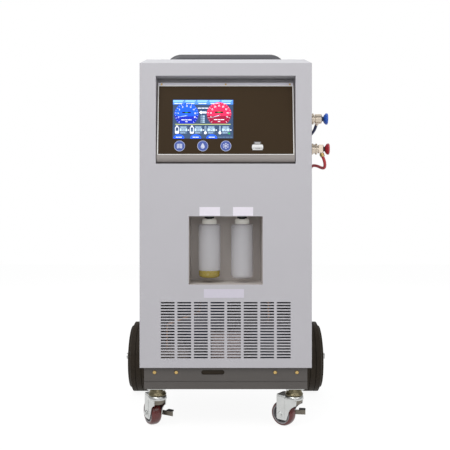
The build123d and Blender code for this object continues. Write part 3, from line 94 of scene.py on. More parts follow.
def coil_points(coil_z):
    """The turns from a coil's top to the elbow behind it, a little wide because the spline cuts corners."""
    points = []
    last = len(COLUMNS) - 1
    for step in range(TURN_POINTS * last + TURN_POINTS // 4 + 1):
        turn = step // TURN_POINTS
        part = step % TURN_POINTS
        shift = max(0, part - TURN_POINTS + STEP_POINTS) / STEP_POINTS
        after = min(turn + 1, last)
        x = COLUMNS[turn] + shift * (COLUMNS[after] - COLUMNS[turn])
        radius = COIL_RADII[turn] + shift * (COIL_RADII[after] - COIL_RADII[turn])
        angle = 2 * pi * step / TURN_POINTS
        radius *= TURN_SWELL
        points.append((x, COIL_Y + radius * sin(angle), coil_z + radius * cos(angle)))
    points.append((COLUMNS[last], COIL_Y + COIL_RADII[last], coil_z - BARB_DROP))
    return points


def hose(name, route, coil_z, replaced):
    """A hose along one smooth spline from its ferrule through its coil to the elbow, as a closed tube."""
    data = bpy.data.curves.new(name, "CURVE")
    data.dimensions = "3D"
    data.resolution_u = 6
    spline = data.splines.new("NURBS")
    points = route + coil_points(coil_z)
    spline.points.add(len(points) - 1)
    for control, place in zip(spline.points, points):
        control.co = (*place, 1)
    spline.order_u = 3
    spline.use_endpoint_u = True
    line = bpy.data.objects.new(name, data)
    bpy.context.scene.collection.objects.link(line)
    centre = bpy.data.meshes.new_from_object(line)
    data.bevel_depth = HOSE_RADIUS
    data.bevel_resolution = 4
    data.use_fill_caps = True
    tube = bpy.data.meshes.new_from_object(line)
    bpy.data.meshes.remove(centre)
    bpy.data.objects.remove(line)
    bpy.data.curves.remove(data)
    cord = bpy.data.objects.new(name, tube)
    bpy.context.scene.collection.objects.link(cord)
    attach(cord, "cabinet")
    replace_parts(cord, *replaced)
    return cord


low_hose = hose("low_side_hose", LOW_ROUTE, LOW_COIL_Z, ["low_hose", "low_hose_coil"])
high_hose = hose("high_side_hose", HIGH_ROUTE, HIGH_COIL_Z, ["high_hose", "high_hose_coil"])


# Materials
def new_node(tree, kind, **values):
    """A shader node with those inputs set."""
    node = tree.nodes.new(kind)
    for name, value in values.items():
        node.inputs[name.replace("_", " ")].default_value = value
    return node


def noise(tree, scale, detail, stretch):
    """Noise over the piece's own coordinates, with that many cells a metre."""
    place = tree.nodes.new("ShaderNodeTexCoord").outputs["Object"]
    if stretch:
        mapping = tree.nodes.new("ShaderNodeMapping")
        mapping.inputs["Scale"].default_value = stretch
        tree.links.new(place, mapping.inputs["Vector"])
        place = mapping.outputs["Vector"]
    texture = new_node(tree, "ShaderNodeTexNoise", Scale=scale, Detail=detail)
    tree.links.new(place, texture.inputs["Vector"])
    return texture.outputs["Fac"]


def shade(colour, factor):
    """A lighter or darker colour, as an opaque one."""
    return (*[min(1.0, c * factor) for c in colour], 1.0)


# Where wear starts and ends, as the cosine between a rounded edge and its face, and what all looks share
WEAR_STARTS = 0.99
WEAR_ENDS = 0.80
WORN_LIGHT = 1.5
LEAST_ROUGH = 0.02
ROUGH_SPREAD = 0.08
RELIEF_DEPTH = 0.0002
BEVEL_SAMPLES = 4
MIX_A = 6
MIX_B = 7
MIX_RESULT = 2


def material(
    name,
    colour,
    rough,
    metal=0.0,
    mottle=0.05,
    mottle_scale=7,
    bump=0.05,
    bump_scale=900,
    stretch=None,
    bevel=0.0,
    wear=0.0,
    **sockets,
):
    """A procedural look: mottled colour, uneven gloss, fine relief, and rounded, worn edges where asked."""
    made = bpy.data.materials.new(name)
    made.use_nodes = True
    tree = made.node_tree
    shader = tree.nodes["Principled BSDF"]
    shader.inputs["Metallic"].default_value = metal
    for socket, value in sockets.items():
        shader.inputs[socket.replace("_", " ")].default_value = value
    mix = tree.nodes.new("ShaderNodeMix")
    mix.data_type = "RGBA"
    mix.inputs[MIX_A].default_value = shade(colour, 1 - mottle)
    mix.inputs[MIX_B].default_value = shade(colour, 1 + mottle)
    tree.links.new(noise(tree, mottle_scale, 5, stretch), mix.inputs[0])
    top = mix.outputs[MIX_RESULT]
    relief = tree.nodes.new("ShaderNodeBump")
    relief.inputs["Strength"].default_value = bump
    relief.inputs["Distance"].default_value = RELIEF_DEPTH
    tree.links.new(noise(tree, bump_scale, 2, stretch), relief.inputs["Height"])
    tree.links.new(relief.outputs["Normal"], shader.inputs["Normal"])
    if bevel:
        rounding = new_node(tree, "ShaderNodeBevel", Radius=bevel)
        rounding.samples = BEVEL_SAMPLES
        tree.links.new(rounding.outputs["Normal"], relief.inputs["Normal"])
        if wear:
            geometry = tree.nodes.new("ShaderNodeNewGeometry")
            dot = tree.nodes.new("ShaderNodeVectorMath")
            dot.operation = "DOT_PRODUCT"
            tree.links.new(rounding.outputs["Normal"], dot.inputs[0])
            tree.links.new(geometry.outputs["Normal"], dot.inputs[1])
            edge = new_node(tree, "ShaderNodeMapRange")
            edge.inputs["From Min"].default_value = WEAR_STARTS
            edge.inputs["From Max"].default_value = WEAR_ENDS
            edge.inputs["To Max"].default_value = wear
            tree.links.new(dot.outputs["Value"], edge.inputs["Value"])
            worn = tree.nodes.new("ShaderNodeMix")
            worn.data_type = "RGBA"
            worn.inputs[MIX_B].default_value = shade(colour, WORN_LIGHT)
            tree.links.new(edge.outputs["Result"], worn.inputs[0])
            tree.links.new(top, worn.inputs[MIX_A])
            top = worn.outputs[MIX_RESULT]
    tree.links.new(top, shader.inputs["Base Color"])
    spread = new_node(tree, "ShaderNodeMapRange")
    spread.inputs["To Min"].default_value = max(LEAST_ROUGH, rough - ROUGH_SPREAD)
    spread.inputs["To Max"].default_value = min(1, rough + ROUGH_SPREAD)
    tree.links.new(noise(tree, mottle_scale * 3, 4, stretch), spread.inputs["Value"])
    tree.links.new(spread.outputs["Result"], shader.inputs["Roughness"])
    return made


PAINT = dict(bevel=0.0012, bump=0.12, bump_scale=700, wear=0.25)
LOOKS = {
    "cabinet_paint": dict(colour=(0.535, 0.524, 0.556), rough=0.42, mottle=0.025, **PAINT),
    "cover_paint": dict(colour=(0.60, 0.60, 0.63), rough=0.40, mottle=0.025, **PAINT),
    "chassis_paint": dict(colour=(0.092, 0.083, 0.077), rough=0.54, mottle=0.10, **PAINT),
    # The niche's paint is lighter than the cabinet's: painted light in the shaded niche
    "niche_paint": dict(colour=(0.60, 0.555, 0.525), rough=0.5, mottle=0.04, bump=0.1),
    "console_grey": dict(colour=(0.30, 0.272, 0.258), rough=0.42, mottle=0.03, **PAINT),
    "panel_black": dict(
        colour=(0.042, 0.025, 0.011), rough=0.46, mottle=0.08, bump=0.04, bump_scale=2500,
        Specular_IOR_Level=0.12,
    ),
    "screen": dict(colour=(0.03, 0.055, 0.12), rough=0.12, bump=0.0, mottle=0.02, Coat_Weight=0.5),
    "handle_grey": dict(colour=(0.10, 0.10, 0.11), rough=0.42, mottle=0.08, **PAINT),
    "brass": dict(colour=(0.62, 0.44, 0.18), rough=0.28, metal=1, mottle=0.10, mottle_scale=60, bump=0.1),
    "steel": dict(colour=(0.52, 0.52, 0.52), rough=0.38, metal=1, mottle=0.08, bump=0.1, stretch=(1, 1, 14)),
    "zinc": dict(
        colour=(0.60, 0.61, 0.60), rough=0.30, metal=1, mottle=0.14, mottle_scale=45, bump=0.1, bevel=0.0006
    ),
    "race_bronze": dict(
        colour=(0.22, 0.19, 0.12), rough=0.36, metal=1, mottle=0.2, mottle_scale=60, bump=0.1, bevel=0.0006
    ),
    "fork_shadow": dict(
        colour=(0.20, 0.18, 0.15), rough=0.45, metal=1, mottle=0.2, mottle_scale=50, bump=0.15, bevel=0.0006
    ),
    "nickel": dict(
        colour=(0.60, 0.52, 0.43), rough=0.26, metal=1, mottle=0.08, mottle_scale=50, bevel=0.0004
    ),
    "tyre_rubber": dict(
        colour=(0.028, 0.020, 0.012), rough=0.68, mottle=0.3, mottle_scale=35, bump=0.4,
        Specular_IOR_Level=0.25,
    ),
    "hub_plastic": dict(
        colour=(0.032, 0.028, 0.026), rough=0.42, mottle=0.15, bump=0.2, bump_scale=1500
    ),
    "maroon_tread": dict(
        colour=(0.120, 0.017, 0.015), rough=0.30, mottle=0.12, mottle_scale=40, bump=0.1, Coat_Weight=0.2
    ),
    "core_grey": dict(colour=(0.30, 0.29, 0.30), rough=0.5, mottle=0.1, mottle_scale=40, bump=0.2),
    "blue_knob": dict(
        colour=(0.012, 0.115, 0.62), rough=0.25, mottle=0.06, mottle_scale=60, Coat_Weight=0.4
    ),
    "red_knob": dict(
        colour=(0.45, 0.008, 0.022), rough=0.25, mottle=0.06, mottle_scale=60, Coat_Weight=0.4
    ),
    "blue_hose": dict(
        colour=(0.004, 0.015, 0.095), rough=0.5, mottle=0.15, mottle_scale=90, Specular_IOR_Level=0.25
    ),
    "red_hose": dict(colour=(0.56, 0.040, 0.050), rough=0.36, mottle=0.12, mottle_scale=90, bump=0.2),
    "bottle_white": dict(
        colour=(0.77, 0.765, 0.80), rough=0.34, mottle=0.03, bump=0.1, bump_scale=300
    ),
    "cap_white": dict(colour=(0.92, 0.91, 0.86), rough=0.42, mottle=0.03, bump=0.1),
    "oil_amber": dict(colour=(0.31, 0.23, 0.012), rough=0.25, mottle=0.05, bump=0.0),
    "black_plastic": dict(
        colour=(0.018, 0.018, 0.019), rough=0.4, mottle=0.15, bump=0.2, bump_scale=1200
    ),
    "tank_blue": dict(colour=(0.012, 0.022, 0.10), rough=0.35, mottle=0.1, bump=0.15),
    "pump_taupe": dict(colour=(0.33, 0.28, 0.25), rough=0.48, mottle=0.15, bump=0.25, bump_scale=500),
    "separator_paint": dict(colour=(0.50, 0.40, 0.38), rough=0.45, mottle=0.05, bump=0.15),
    "compressor_paint": dict(colour=(0.048, 0.056, 0.075), rough=0.45, mottle=0.08, bump=0.15),
    "aluminium": dict(
        colour=(0.62, 0.62, 0.63), rough=0.36, metal=1, mottle=0.1, mottle_scale=40, stretch=(1, 1, 8),
        bump=0.1,
    ),
    # Near black: partly a black coating on the condenser's fins, and painted shade of the cabinet's dark
    # inside on the condenser and the mounting plate
    "coat_and_painted_shade": dict(
        colour=(0.045, 0.045, 0.048), rough=0.5, metal=0.4, mottle=0.2, mottle_scale=40, stretch=(8, 1, 1),
        bump=0.2,
    ),
    "board_green": dict(colour=(0.010, 0.085, 0.035), rough=0.4, mottle=0.2, mottle_scale=120),
    "copper": dict(colour=(0.45, 0.25, 0.15), rough=0.32, metal=1, mottle=0.12, mottle_scale=40),
}
paints = {name: material(name, **look) for name, look in LOOKS.items()}

# Bottle walls: how much of them hides what is behind, dry and under the oil's level
OIL_LEVEL = 0.4843
LEVEL_BLUR = 0.0003
DRY_WALL = 0.31
WET_WALL = 0.03


def milky(look, dry, wet=None):
    """Lets part of the light through a bottle's wall, and more of it below the level where oil wets it."""
    shader = look.node_tree.nodes["Principled BSDF"]
    shader.inputs["Alpha"].default_value = dry
    if wet is not None:
        tree = look.node_tree
        place = tree.nodes.new("ShaderNodeTexCoord").outputs["Object"]
        parts = tree.nodes.new("ShaderNodeSeparateXYZ")
        tree.links.new(place, parts.inputs[0])
        level = new_node(tree, "ShaderNodeMapRange")
        level.inputs["From Min"].default_value = OIL_LEVEL - LEVEL_BLUR
        level.inputs["From Max"].default_value = OIL_LEVEL + 2 * LEVEL_BLUR
        level.inputs["To Min"].default_value = wet
        level.inputs["To Max"].default_value = dry
        tree.links.new(parts.outputs["Z"], level.inputs["Value"])
        tree.links.new(level.outputs["Result"], shader.inputs["Alpha"])


milky(paints["bottle_white"], DRY_WALL)
wetted = paints["bottle_white"].copy()
wetted.name = "bottle_white_wetted"
milky(wetted, DRY_WALL, WET_WALL)

# Each node gets the look of its own slot; the used oil bottle gets a wetted one, and a few inner parts and
# the pedals a darker one as painted shade
for subpart in frame["record"]["subparts"]:
    painted = nodes[subpart["node"]].data
    painted.materials.clear()
    painted.materials.append(paints[subpart["material_slot"]])
nodes["used_oil_bottle"].data.materials[0] = wetted
# The condenser and the mounting plate seen through the grille are near black as painted shade of the
# cabinet's dark inside
for dark in ("condenser", "mounting_plate"):
    nodes[dark].data.materials[0] = paints["coat_and_painted_shade"]
for side in ("left", "right"):
    nodes[f"brake_pedal_{side}"].data.materials[0] = paints["fork_shadow"]
low_hose.data.materials.append(paints["blue_hose"])
high_hose.data.materials.append(paints["red_hose"])


# Mesh building
def axes(origin, across, up):
    """The frame whose x runs across, y up and z out of a face."""
    x = Vector(across).normalized()
    y = Vector(up).normalized()
    z = x.cross(y)
    made = Matrix((x, y, z)).transposed().to_4x4()
    made.translation = Vector(origin)
    return made


class Shape:
    """Gathers closed forms and turns them into one piece."""

    def __init__(self, place=None):
        self.place = place or Matrix.Identity(4)
        self.points = []
        self.faces = []
        self.marks = []

    def put(self, points, faces, mark=0):
        """Adds points and faces, placed and marked with one of the looks."""
        start = len(self.points)
        self.points += [self.place @ Vector(p) for p in points]
        self.faces += [[start + i for i in face] for face in faces]
        self.marks += [mark] * len(faces)

    def prism(self, outline, low, high, mark=0):
        """A flat outline between two heights."""
        n = len(outline)
        points = [(x, y, low) for x, y in outline] + [(x, y, high) for x, y in outline]
        faces = [list(range(n))[::-1], list(range(n, 2 * n))]
        faces += [[i, (i + 1) % n, n + (i + 1) % n, n + i] for i in range(n)]
        self.put(points, faces, mark)

    def box(self, x, y, width, height, low, high, mark=0, corner=0.0):
        """A plate with rounded corners."""
        self.prism(rounded(x, y, width, height, corner), low, high, mark)

    def disc(self, x, y, radius, low, high, mark=0, steps=40):
        """A round plate."""
        self.prism(arc(x, y, radius, 0, 360, steps), low, high, mark)

    def ring(self, x, y, inner, outer, low, high, mark, start, end, steps):
        """A part of a flat ring between two angles, in two halves."""
        middle = (start + end) / 2
        for a, b in ((start, middle), (middle, end)):
            outside = arc(x, y, outer, a, b, steps, True)
            inside = arc(x, y, inner, a, b, steps, True)
            self.prism(outside + inside[::-1], low, high, mark)

    def stroke(self, a, b, width, low, high, mark=0):
        """A straight bar between two points."""
        line = Vector(b) - Vector(a)
        side = Vector((-line.y, line.x)).normalized() * (width / 2)
        corners = [Vector(a) - side, Vector(b) - side, Vector(b) + side, Vector(a) + side]
        self.prism([tuple(c) for c in corners], low, high, mark)

    def turned(self, profile, mark=0, steps=64, closed=False):
        """A form turned about z from (height, radius) points."""
        n = len(profile)
        points = []
        for step in range(steps):
            angle = 2 * pi * step / steps
            points += [(r * cos(angle), r * sin(angle), h) for h, r in profile]
        faces = []
        spans = n if closed else n - 1
        for step in range(steps):
            for i in range(spans):
                j = (i + 1) % n
                a, b = step * n, (step + 1) % steps * n
                faces.append([a + i, b + i, b + j, a + j])
        if not closed:
            faces.append([step * n for step in range(steps)][::-1])
            faces.append([step * n + n - 1 for step in range(steps)])
        self.put(points, faces, mark)

    def loft(self, loops, mark=0):
        """A closed form through loops of equally many points."""
        n = len(loops[0])
        faces = [list(range(n))[::-1], [(len(loops) - 1) * n + i for i in range(n)]]
        for low in range(len(loops) - 1):
            for i in range(n):
                a, b = low * n + i, low * n + (i + 1) % n
                faces.append([a, b, b + n, a + n])
        self.put([point for loop in loops for point in loop], faces, mark)

    def swept(self, profile, start, end, steps, mark=0):
        """A part turn about z of a closed outline of (height, radius) points."""
        loops = []
        for step in range(steps + 1):
            angle = radians(start + (end - start) * step / steps)
            loops.append([(r * cos(angle), r * sin(angle), h) for h, r in profile])
        self.loft(loops, mark)

    def make(self, name, looks, body, bevel=0.0, sharp=35):
        """The finished piece, riding on its body."""
        mesh = bpy.data.meshes.new(name)
        mesh.from_pydata(self.points, [], self.faces)
        for look in looks:
            mesh.materials.append(look)
        for face, mark in zip(mesh.polygons, self.marks):
            face.material_index = mark
            face.use_smooth = True
        work = bmesh.new()
        work.from_mesh(mesh)
        bmesh.ops.recalc_face_normals(work, faces=work.faces)
        work.to_mesh(mesh)
        work.free()
        mesh.set_sharp_from_angle(angle=radians(sharp))
        made = bpy.data.objects.new(name, mesh)
        bpy.context.scene.collection.objects.link(made)
        if bevel:
            edge = made.modifiers.new("edges", "BEVEL")
            edge.width = bevel
            edge.segments = 2
            edge.limit_method = "ANGLE"
            edge.angle_limit = radians(sharp)
            edge.use_clamp_overlap = True
            edge.harden_normals = True
        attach(made, body)
        return made


def arc(x, y, radius, start, end, steps, both=False):
    """Points along an arc, with its last one where asked."""
    count = steps + 1 if both else steps
    turn = radians(end - start) / steps
    points = []
    for i in range(count):
        angle = radians(start) + i * turn
        points.append((x + radius * cos(angle), y + radius * sin(angle)))
    return points


CORNER_STEPS = 5


def rounded(x, y, width, height, corner):
    """A rectangle's outline about its middle, with rounded corners."""
    w, h = width / 2, height / 2
    if not corner:
        return [(x - w, y - h), (x + w, y - h), (x + w, y + h), (x - w, y + h)]
    outline = []
    for cx, cy, start in ((w, -h, -90), (w, h, 0), (-w, h, 90), (-w, -h, 180)):
        inner = (x + cx - corner * (1 if cx > 0 else -1), y + cy - corner * (1 if cy > 0 else -1))
        outline += arc(*inner, corner, start, start + 90, CORNER_STEPS, True)
    return outline


def plain(name, colour, rough, glow=0.0):
    """A small printed or lit area: a faint mottle, and light of its own where it glows."""
    grain = dict(mottle=0.03, mottle_scale=120, bump=0.02, bump_scale=3000)
    made = material(name, colour, rough, **grain)
    if glow:
        shader = made.node_tree.nodes["Principled BSDF"]
        shader.inputs["Emission Color"].default_value = (*colour, 1)
        shader.inputs["Emission Strength"].default_value = glow
    return made


# Control console: the face's own frame has its origin in the middle of the dark panel
TILT = radians(7.5)
PANEL_CENTRE = (0, -0.277625, 0.944566)
SCREEN_CENTRE = (-0.069, 0.0025, -0.0003)
FACE = axes(PANEL_CENTRE, (1, 0, 0), (0, sin(TILT), cos(TILT)))
SCREEN = FACE @ Matrix.Translation(SCREEN_CENTRE)
SCREEN_WIDTH = 0.1834
SCREEN_HEIGHT = 0.1204
LAYER = 0.0001
SUNK = -0.0001

# The screen's colours, and each one's place among its looks
GLOW = 0.66
SCREEN_COLOURS = {
    "screen_ground": (0.030, 0.060, 0.130),
    "screen_tab": (0.24, 0.52, 0.98),
    "screen_bar": (0.07, 0.25, 0.85),
    "screen_white": (0.82, 0.86, 0.98),
    "dial_blue": (0.006, 0.10, 0.95),
    "dial_blue_dark": (0.004, 0.02, 0.42),
    "dial_red": (0.95, 0.020, 0.095),
    "dial_red_dark": (0.30, 0.002, 0.035),
    "readout": (0.004, 0.012, 0.010),
    "readout_green": (0.02, 0.40, 0.08),
    "screen_olive": (0.40, 0.46, 0.18),
    "screen_pale": (0.45, 0.62, 0.78),
    "screen_slate": (0.085, 0.15, 0.26),
}
GROUND, TAB, BAR, WHITE, BLUE, DARK_BLUE, RED, DARK_RED, READOUT, GREEN, OLIVE, PALE, SLATE = range(13)

# Which of the seven bars each number lights
SEGMENTS = {
    "0": "abcdef", "1": "bc", "2": "abged", "3": "abgcd", "4": "fgbc",
    "5": "afgcd", "6": "afgedc", "7": "abc", "8": "abcdefg", "9": "abcdfg",
}


def digits(shape, text, x, y, height, layer, mark):
    """Plain seven-bar numbers centred on a point."""
    w = height * 0.5
    pitch = w * 1.55
    thick = height * 0.17
    ends = {
        "a": ((0, 1), (1, 1)), "b": ((1, 1), (1, 0.5)), "c": ((1, 0.5), (1, 0)), "d": ((0, 0), (1, 0)),
        "e": ((0, 0), (0, 0.5)), "f": ((0, 0.5), (0, 1)), "g": ((0, 0.5), (1, 0.5)),
    }
    left = x - (len(text) * pitch - pitch + w) / 2
    for place, letter in enumerate(text):
        x0, y0 = left + place * pitch, y - height / 2
        for bar in SEGMENTS[letter]:
            (ax, ay), (bx, by) = ends[bar]
            start = (x0 + ax * w, y0 + ay * height)
            end = (x0 + bx * w, y0 + by * height)
            shape.stroke(start, end, thick, 0, layer, mark)


def lines_of_print(shape, x, y, width, height, layer, mark, words):
    """Bars that stand for a line of print."""
    gap = width * 0.04
    at = x - width / 2
    for share in words:
        span = (width - gap * (len(words) - 1)) * share / sum(words)
        shape.box(at + span / 2, y, span, height, 0, layer, mark, height * 0.2)
        at += span + gap


TICKS = 21
FIRST_TICK = 228
TICK_TURN = 13.8
DIAL_CUT = 52.7


def gauge(shape, x, y, radius, bright, dark, needle_turn, step):
    """A pressure dial cut off below by a level line."""
    shape.prism(arc(x, y, radius, -DIAL_CUT, 180 + DIAL_CUT, 60, True), 0, 2 * LAYER, dark)
    lit = radius * 0.985
    rim = arc(x, y, lit, 2, 178, 44, True)
    belly = []
    for lean in range(176, 0, -8):
        angle = radians(lean)
        belly.append((x + lit * cos(angle), y - radius * 0.17 * sin(angle) ** 0.7))
    shape.prism(rim + belly, 0, 3 * LAYER, bright)
    for tick in range(TICKS):
        angle = radians(FIRST_TICK - tick * TICK_TURN)
        long = tick % 2 == 0
        inner = radius * (0.84 if long else 0.90)
        a = (x + inner * cos(angle), y + inner * sin(angle))
        b = (x + radius * 0.955 * cos(angle), y + radius * 0.955 * sin(angle))
        shape.stroke(a, b, 0.0009 if long else 0.0005, 0, 4 * LAYER, WHITE)
        if long and tick not in (0, TICKS - 1):
            number = str(tick // 2 * step)
            middle = (x + radius * 0.70 * cos(angle), y + radius * 0.70 * sin(angle))
            digits(shape, number, *middle, 0.0042, 4 * LAYER, WHITE)
    shape.box(x, y + 0.0055, 0.026, 0.0052, 0, 4 * LAYER, READOUT, 0.001)
    digits(shape, "000", x, y + 0.0055, 0.0036, 5 * LAYER, GREEN)
    angle = radians(needle_turn)
    hub = (x + 0.002, y - 0.004)
    tip = (hub[0] + radius * 0.84 * cos(angle), hub[1] + radius * 0.84 * sin(angle))
    side = (0.0013 * sin(angle), -0.0013 * cos(angle))
    root = [(hub[0] - side[0], hub[1] - side[1]), (hub[0] + side[0], hub[1] + side[1])]
    shape.prism([tip, *root], 0, 5 * LAYER, PALE)
    shape.disc(*hub, 0.0022, 0, 6 * LAYER, SLATE, 20)
    lines_of_print(shape, x, y - 0.0175, 0.031, 0.0022, 4 * LAYER, WHITE, (0.3, 0.2, 0.3))
    lines_of_print(shape, x, y - 0.0235, 0.007, 0.0018, 4 * LAYER, WHITE, (1,))


# The picture: tabs, two dials, an arrow, four groups of a symbol and its readings, and the lower tabs
TAB_PITCH = 0.0367
picture = Shape(SCREEN)
picture.box(0, 0, SCREEN_WIDTH, SCREEN_HEIGHT, SUNK, LAYER, GROUND)
picture.box(0, 0.0532, SCREEN_WIDTH, 0.0140, 0, 2 * LAYER, BAR)
for tab in range(5):
    tab_x = (tab - 2) * TAB_PITCH
    picture.box(tab_x - 0.001, 0.0566, 0.0325, 0.0062, 0, 3 * LAYER, TAB, 0.001)
    lines_of_print(picture, tab_x - 0.002, 0.0492, 0.024, 0.0019, 3 * LAYER, WHITE, (0.5, 0.4))
    picture.box(tab_x + 0.0135, 0.0552, 0.003, 0.003, 0, 4 * LAYER, SLATE, 0.001)
gauge(picture, -0.0503, 0.0152, 0.0366, BLUE, DARK_BLUE, 190, 2)
gauge(picture, 0.0487, 0.0160, 0.0372, RED, DARK_RED, 196, 5)
lines_of_print(picture, 0, 0.0345, 0.032, 0.0024, 3 * LAYER, WHITE, (0.3, 0.3, 0.3))
arrow = [(-0.0125, 0.021), (-0.0045, 0.0268), (-0.0045, 0.0238), (0.0105, 0.0238)]
arrow += [(0.0105, 0.0182), (-0.0045, 0.0182), (-0.0045, 0.0152)]
picture.prism(arrow, 0, 3 * LAYER, WHITE)
for line in range(4):
    line_y = 0.0095 - line * 0.0062
    picture.box(-0.0055, line_y, 0.0022, 0.0030, 0, 3 * LAYER, PALE, 0.0004)
    picture.box(0.0018, line_y, 0.0072, 0.0030, 0, 3 * LAYER, PALE, 0.0004)
picture.box(0.0, -0.0163, 0.168, 0.0026, 0, 3 * LAYER, OLIVE)
GROUPS = ((-0.0785, "000", 0.003, PALE), (-0.0335, "000", 0.009, SLATE), (0.0075, "24"), (0.0515, "25"))
for group_x, number, *filled in GROUPS:
    plate_x = group_x + (0.0195 if filled else 0.0175)
    if filled:
        level, fluid = filled
        picture.box(group_x, -0.0345, 0.0118, 0.0205, 0, 2 * LAYER, WHITE, 0.0022)
        picture.box(group_x, -0.0225, 0.0056, 0.0048, 0, 2 * LAYER, WHITE, 0.001)
        picture.box(group_x, -0.0325, 0.0082, 0.0140, 0, 3 * LAYER, GROUND, 0.0012)
        picture.box(group_x, -0.0395 + level / 2, 0.0082, level, 0, 4 * LAYER, fluid)
    else:
        picture.box(group_x, -0.0310, 0.0042, 0.0200, 0, 2 * LAYER, PALE, 0.002)
        picture.box(group_x, -0.0290, 0.0020, 0.0150, 0, 3 * LAYER, GROUND, 0.001)
        picture.disc(group_x, -0.0428, 0.0042, 0, 3 * LAYER, WHITE, 24)
    picture.box(plate_x, -0.0248, 0.0225, 0.0048, 0, 2 * LAYER, SLATE, 0.0006)
    lines_of_print(picture, plate_x, -0.0248, 0.018, 0.0022, 3 * LAYER, PALE, (0.6, 0.4))
    picture.box(plate_x, -0.0333, 0.0225, 0.0090, 0, 2 * LAYER, PALE, 0.0008)
    digits(picture, number, plate_x, -0.0333, 0.0058, 3 * LAYER, GROUND)
    lines_of_print(picture, plate_x, -0.0428, 0.0215, 0.0042, 2 * LAYER, SLATE, (0.6, 0.4))
    lines_of_print(picture, plate_x - 0.002, -0.0428, 0.015, 0.0018, 3 * LAYER, PALE, (0.6, 0.4))
    picture.box(plate_x + 0.0152, -0.0340, 0.0042, 0.0030, 0, 2 * LAYER, WHITE, 0.0006)
picture.box(0.0795, -0.0445, 0.0056, 0.0042, 0, 3 * LAYER, GREEN, 0.001)
for tab_x in (-0.0728, -0.0218, 0.0268):
    dome = [(tab_x + 0.0168 * x, -0.0602 + 0.0128 * y) for x, y in arc(0, 0, 1, 0, 180, 20, True)]
    picture.prism(dome, 0, 2 * LAYER, BLUE)
    lines_of_print(picture, tab_x, -0.0562, 0.018, 0.0020, 3 * LAYER, WHITE, (0.5, 0.5))
lines_of_print(picture, 0.0675, -0.0562, 0.044, 0.0030, 2 * LAYER, SLATE, (0.3, 0.2, 0.3, 0.2))
screen_looks = [plain(name, colour, 0.2, GLOW) for name, colour in SCREEN_COLOURS.items()]
picture.make("screen_picture", screen_looks, "cabinet", sharp=30)

# Trim round the dark panel, white as a painted highlight on its raised edge, and the strip over it that
# carries the screws, pale as painted light
PANEL_WIDTH = 0.408
PANEL_HEIGHT = 0.212
TRIM = 0.0024
TRIM_RISE = 0.0007
STRIP = 0.0005
STRIP_CENTRE = 0.1128
STRIP_HEIGHT = 0.0082
trim = Shape(FACE)
for side in (-1, 1):
    trim.box(side * (PANEL_WIDTH + TRIM) / 2, 0, TRIM, PANEL_HEIGHT + 2 * TRIM, SUNK, TRIM_RISE)
    trim.box(0, side * (PANEL_HEIGHT + TRIM) / 2, PANEL_WIDTH, TRIM, SUNK, TRIM_RISE)
trim.box(0, STRIP_CENTRE, PANEL_WIDTH + 2 * TRIM, STRIP_HEIGHT, SUNK, STRIP, 1, 0.0006)
# The trim's white is a painted highlight, and the strip's pale grey is painted light on the console's grey
# flange
trim_looks = [plain("trim_painted_highlight", (0.80, 0.79, 0.77), 0.35), plain("strip_painted_light", (0.62, 0.61, 0.68), 0.35)]
trim.make("panel_trim", trim_looks, "cabinet", bevel=0.0002)

# Round printed marks and the printer mark under the screen
PRINT_PALE, PRINT_BLUE, PRINT_WHITE, PRINT_GREY = range(4)
MARK_Y = -0.0808
PRINTER_X = 0.096
PRINTER_Y = -0.081
prints = Shape(FACE)
for mark_x, kind in ((-0.1394, "book"), (-0.0694, "drop"), (0.0003, "flake")):
    prints.disc(mark_x, MARK_Y, 0.0163, 0, LAYER, PRINT_PALE, 56)
    prints.disc(mark_x, MARK_Y, 0.0152, 0, 2 * LAYER, PRINT_BLUE, 56)
    if kind == "book":
        for side in (-1, 1):
            page = [(mark_x + side * 0.0006, MARK_Y - 0.0066), (mark_x + side * 0.0078, MARK_Y - 0.0078)]
            page += [(mark_x + side * 0.0078, MARK_Y + 0.0056), (mark_x + side * 0.0006, MARK_Y + 0.0070)]
            prints.prism(page if side > 0 else page[::-1], 0, 3 * LAYER, PRINT_PALE)
            for row in range(3):
                row_y = MARK_Y + 0.0034 - row * 0.0036
                prints.box(mark_x + side * 0.0043, row_y, 0.0044, 0.0011, 0, 4 * LAYER, PRINT_BLUE)
    elif kind == "drop":
        drop = arc(mark_x, MARK_Y - 0.0024, 0.0060, 150, 390, 22, True)
        drop += [(mark_x + 0.0010, MARK_Y + 0.0085), (mark_x - 0.0010, MARK_Y + 0.0085)]
        prints.prism(drop, 0, 3 * LAYER, PRINT_PALE)
        prints.ring(mark_x, MARK_Y - 0.0024, 0.0032, 0.0042, 0, 4 * LAYER, PRINT_BLUE, 200, 290, 6)
    else:
        middle = Vector((mark_x, MARK_Y))
        for spoke in range(3):
            turn = radians(90 + spoke * 60)
            d = Vector((cos(turn), sin(turn)))
            layer = (3 + spoke) * LAYER
            prints.stroke(middle - d * 0.0092, middle + d * 0.0092, 0.0017, 0, layer, PRINT_PALE)
            for end in (-1, 1):
                fork = middle + d * 0.0052 * end
                for lean in (-38, 38):
                    tip = Vector((cos(turn + radians(lean)), sin(turn + radians(lean)))) * 0.0042 * end
                    prints.stroke(fork, fork + tip, 0.0012, 0, 3 * LAYER, PRINT_PALE)
prints.box(PRINTER_X, PRINTER_Y + 0.0092, 0.0215, 0.0085, 0, LAYER, PRINT_GREY, 0.0004)
for row in range(2):
    prints.box(PRINTER_X, PRINTER_Y + 0.0108 - row * 0.0032, 0.0150, 0.0012, 0, 2 * LAYER, PRINT_WHITE)
prints.box(PRINTER_X, PRINTER_Y - 0.0030, 0.0337, 0.0150, 0, 2 * LAYER, PRINT_WHITE, 0.0040)
prints.box(PRINTER_X, PRINTER_Y - 0.0085, 0.0300, 0.0080, 0, 2 * LAYER, PRINT_WHITE, 0.0012)
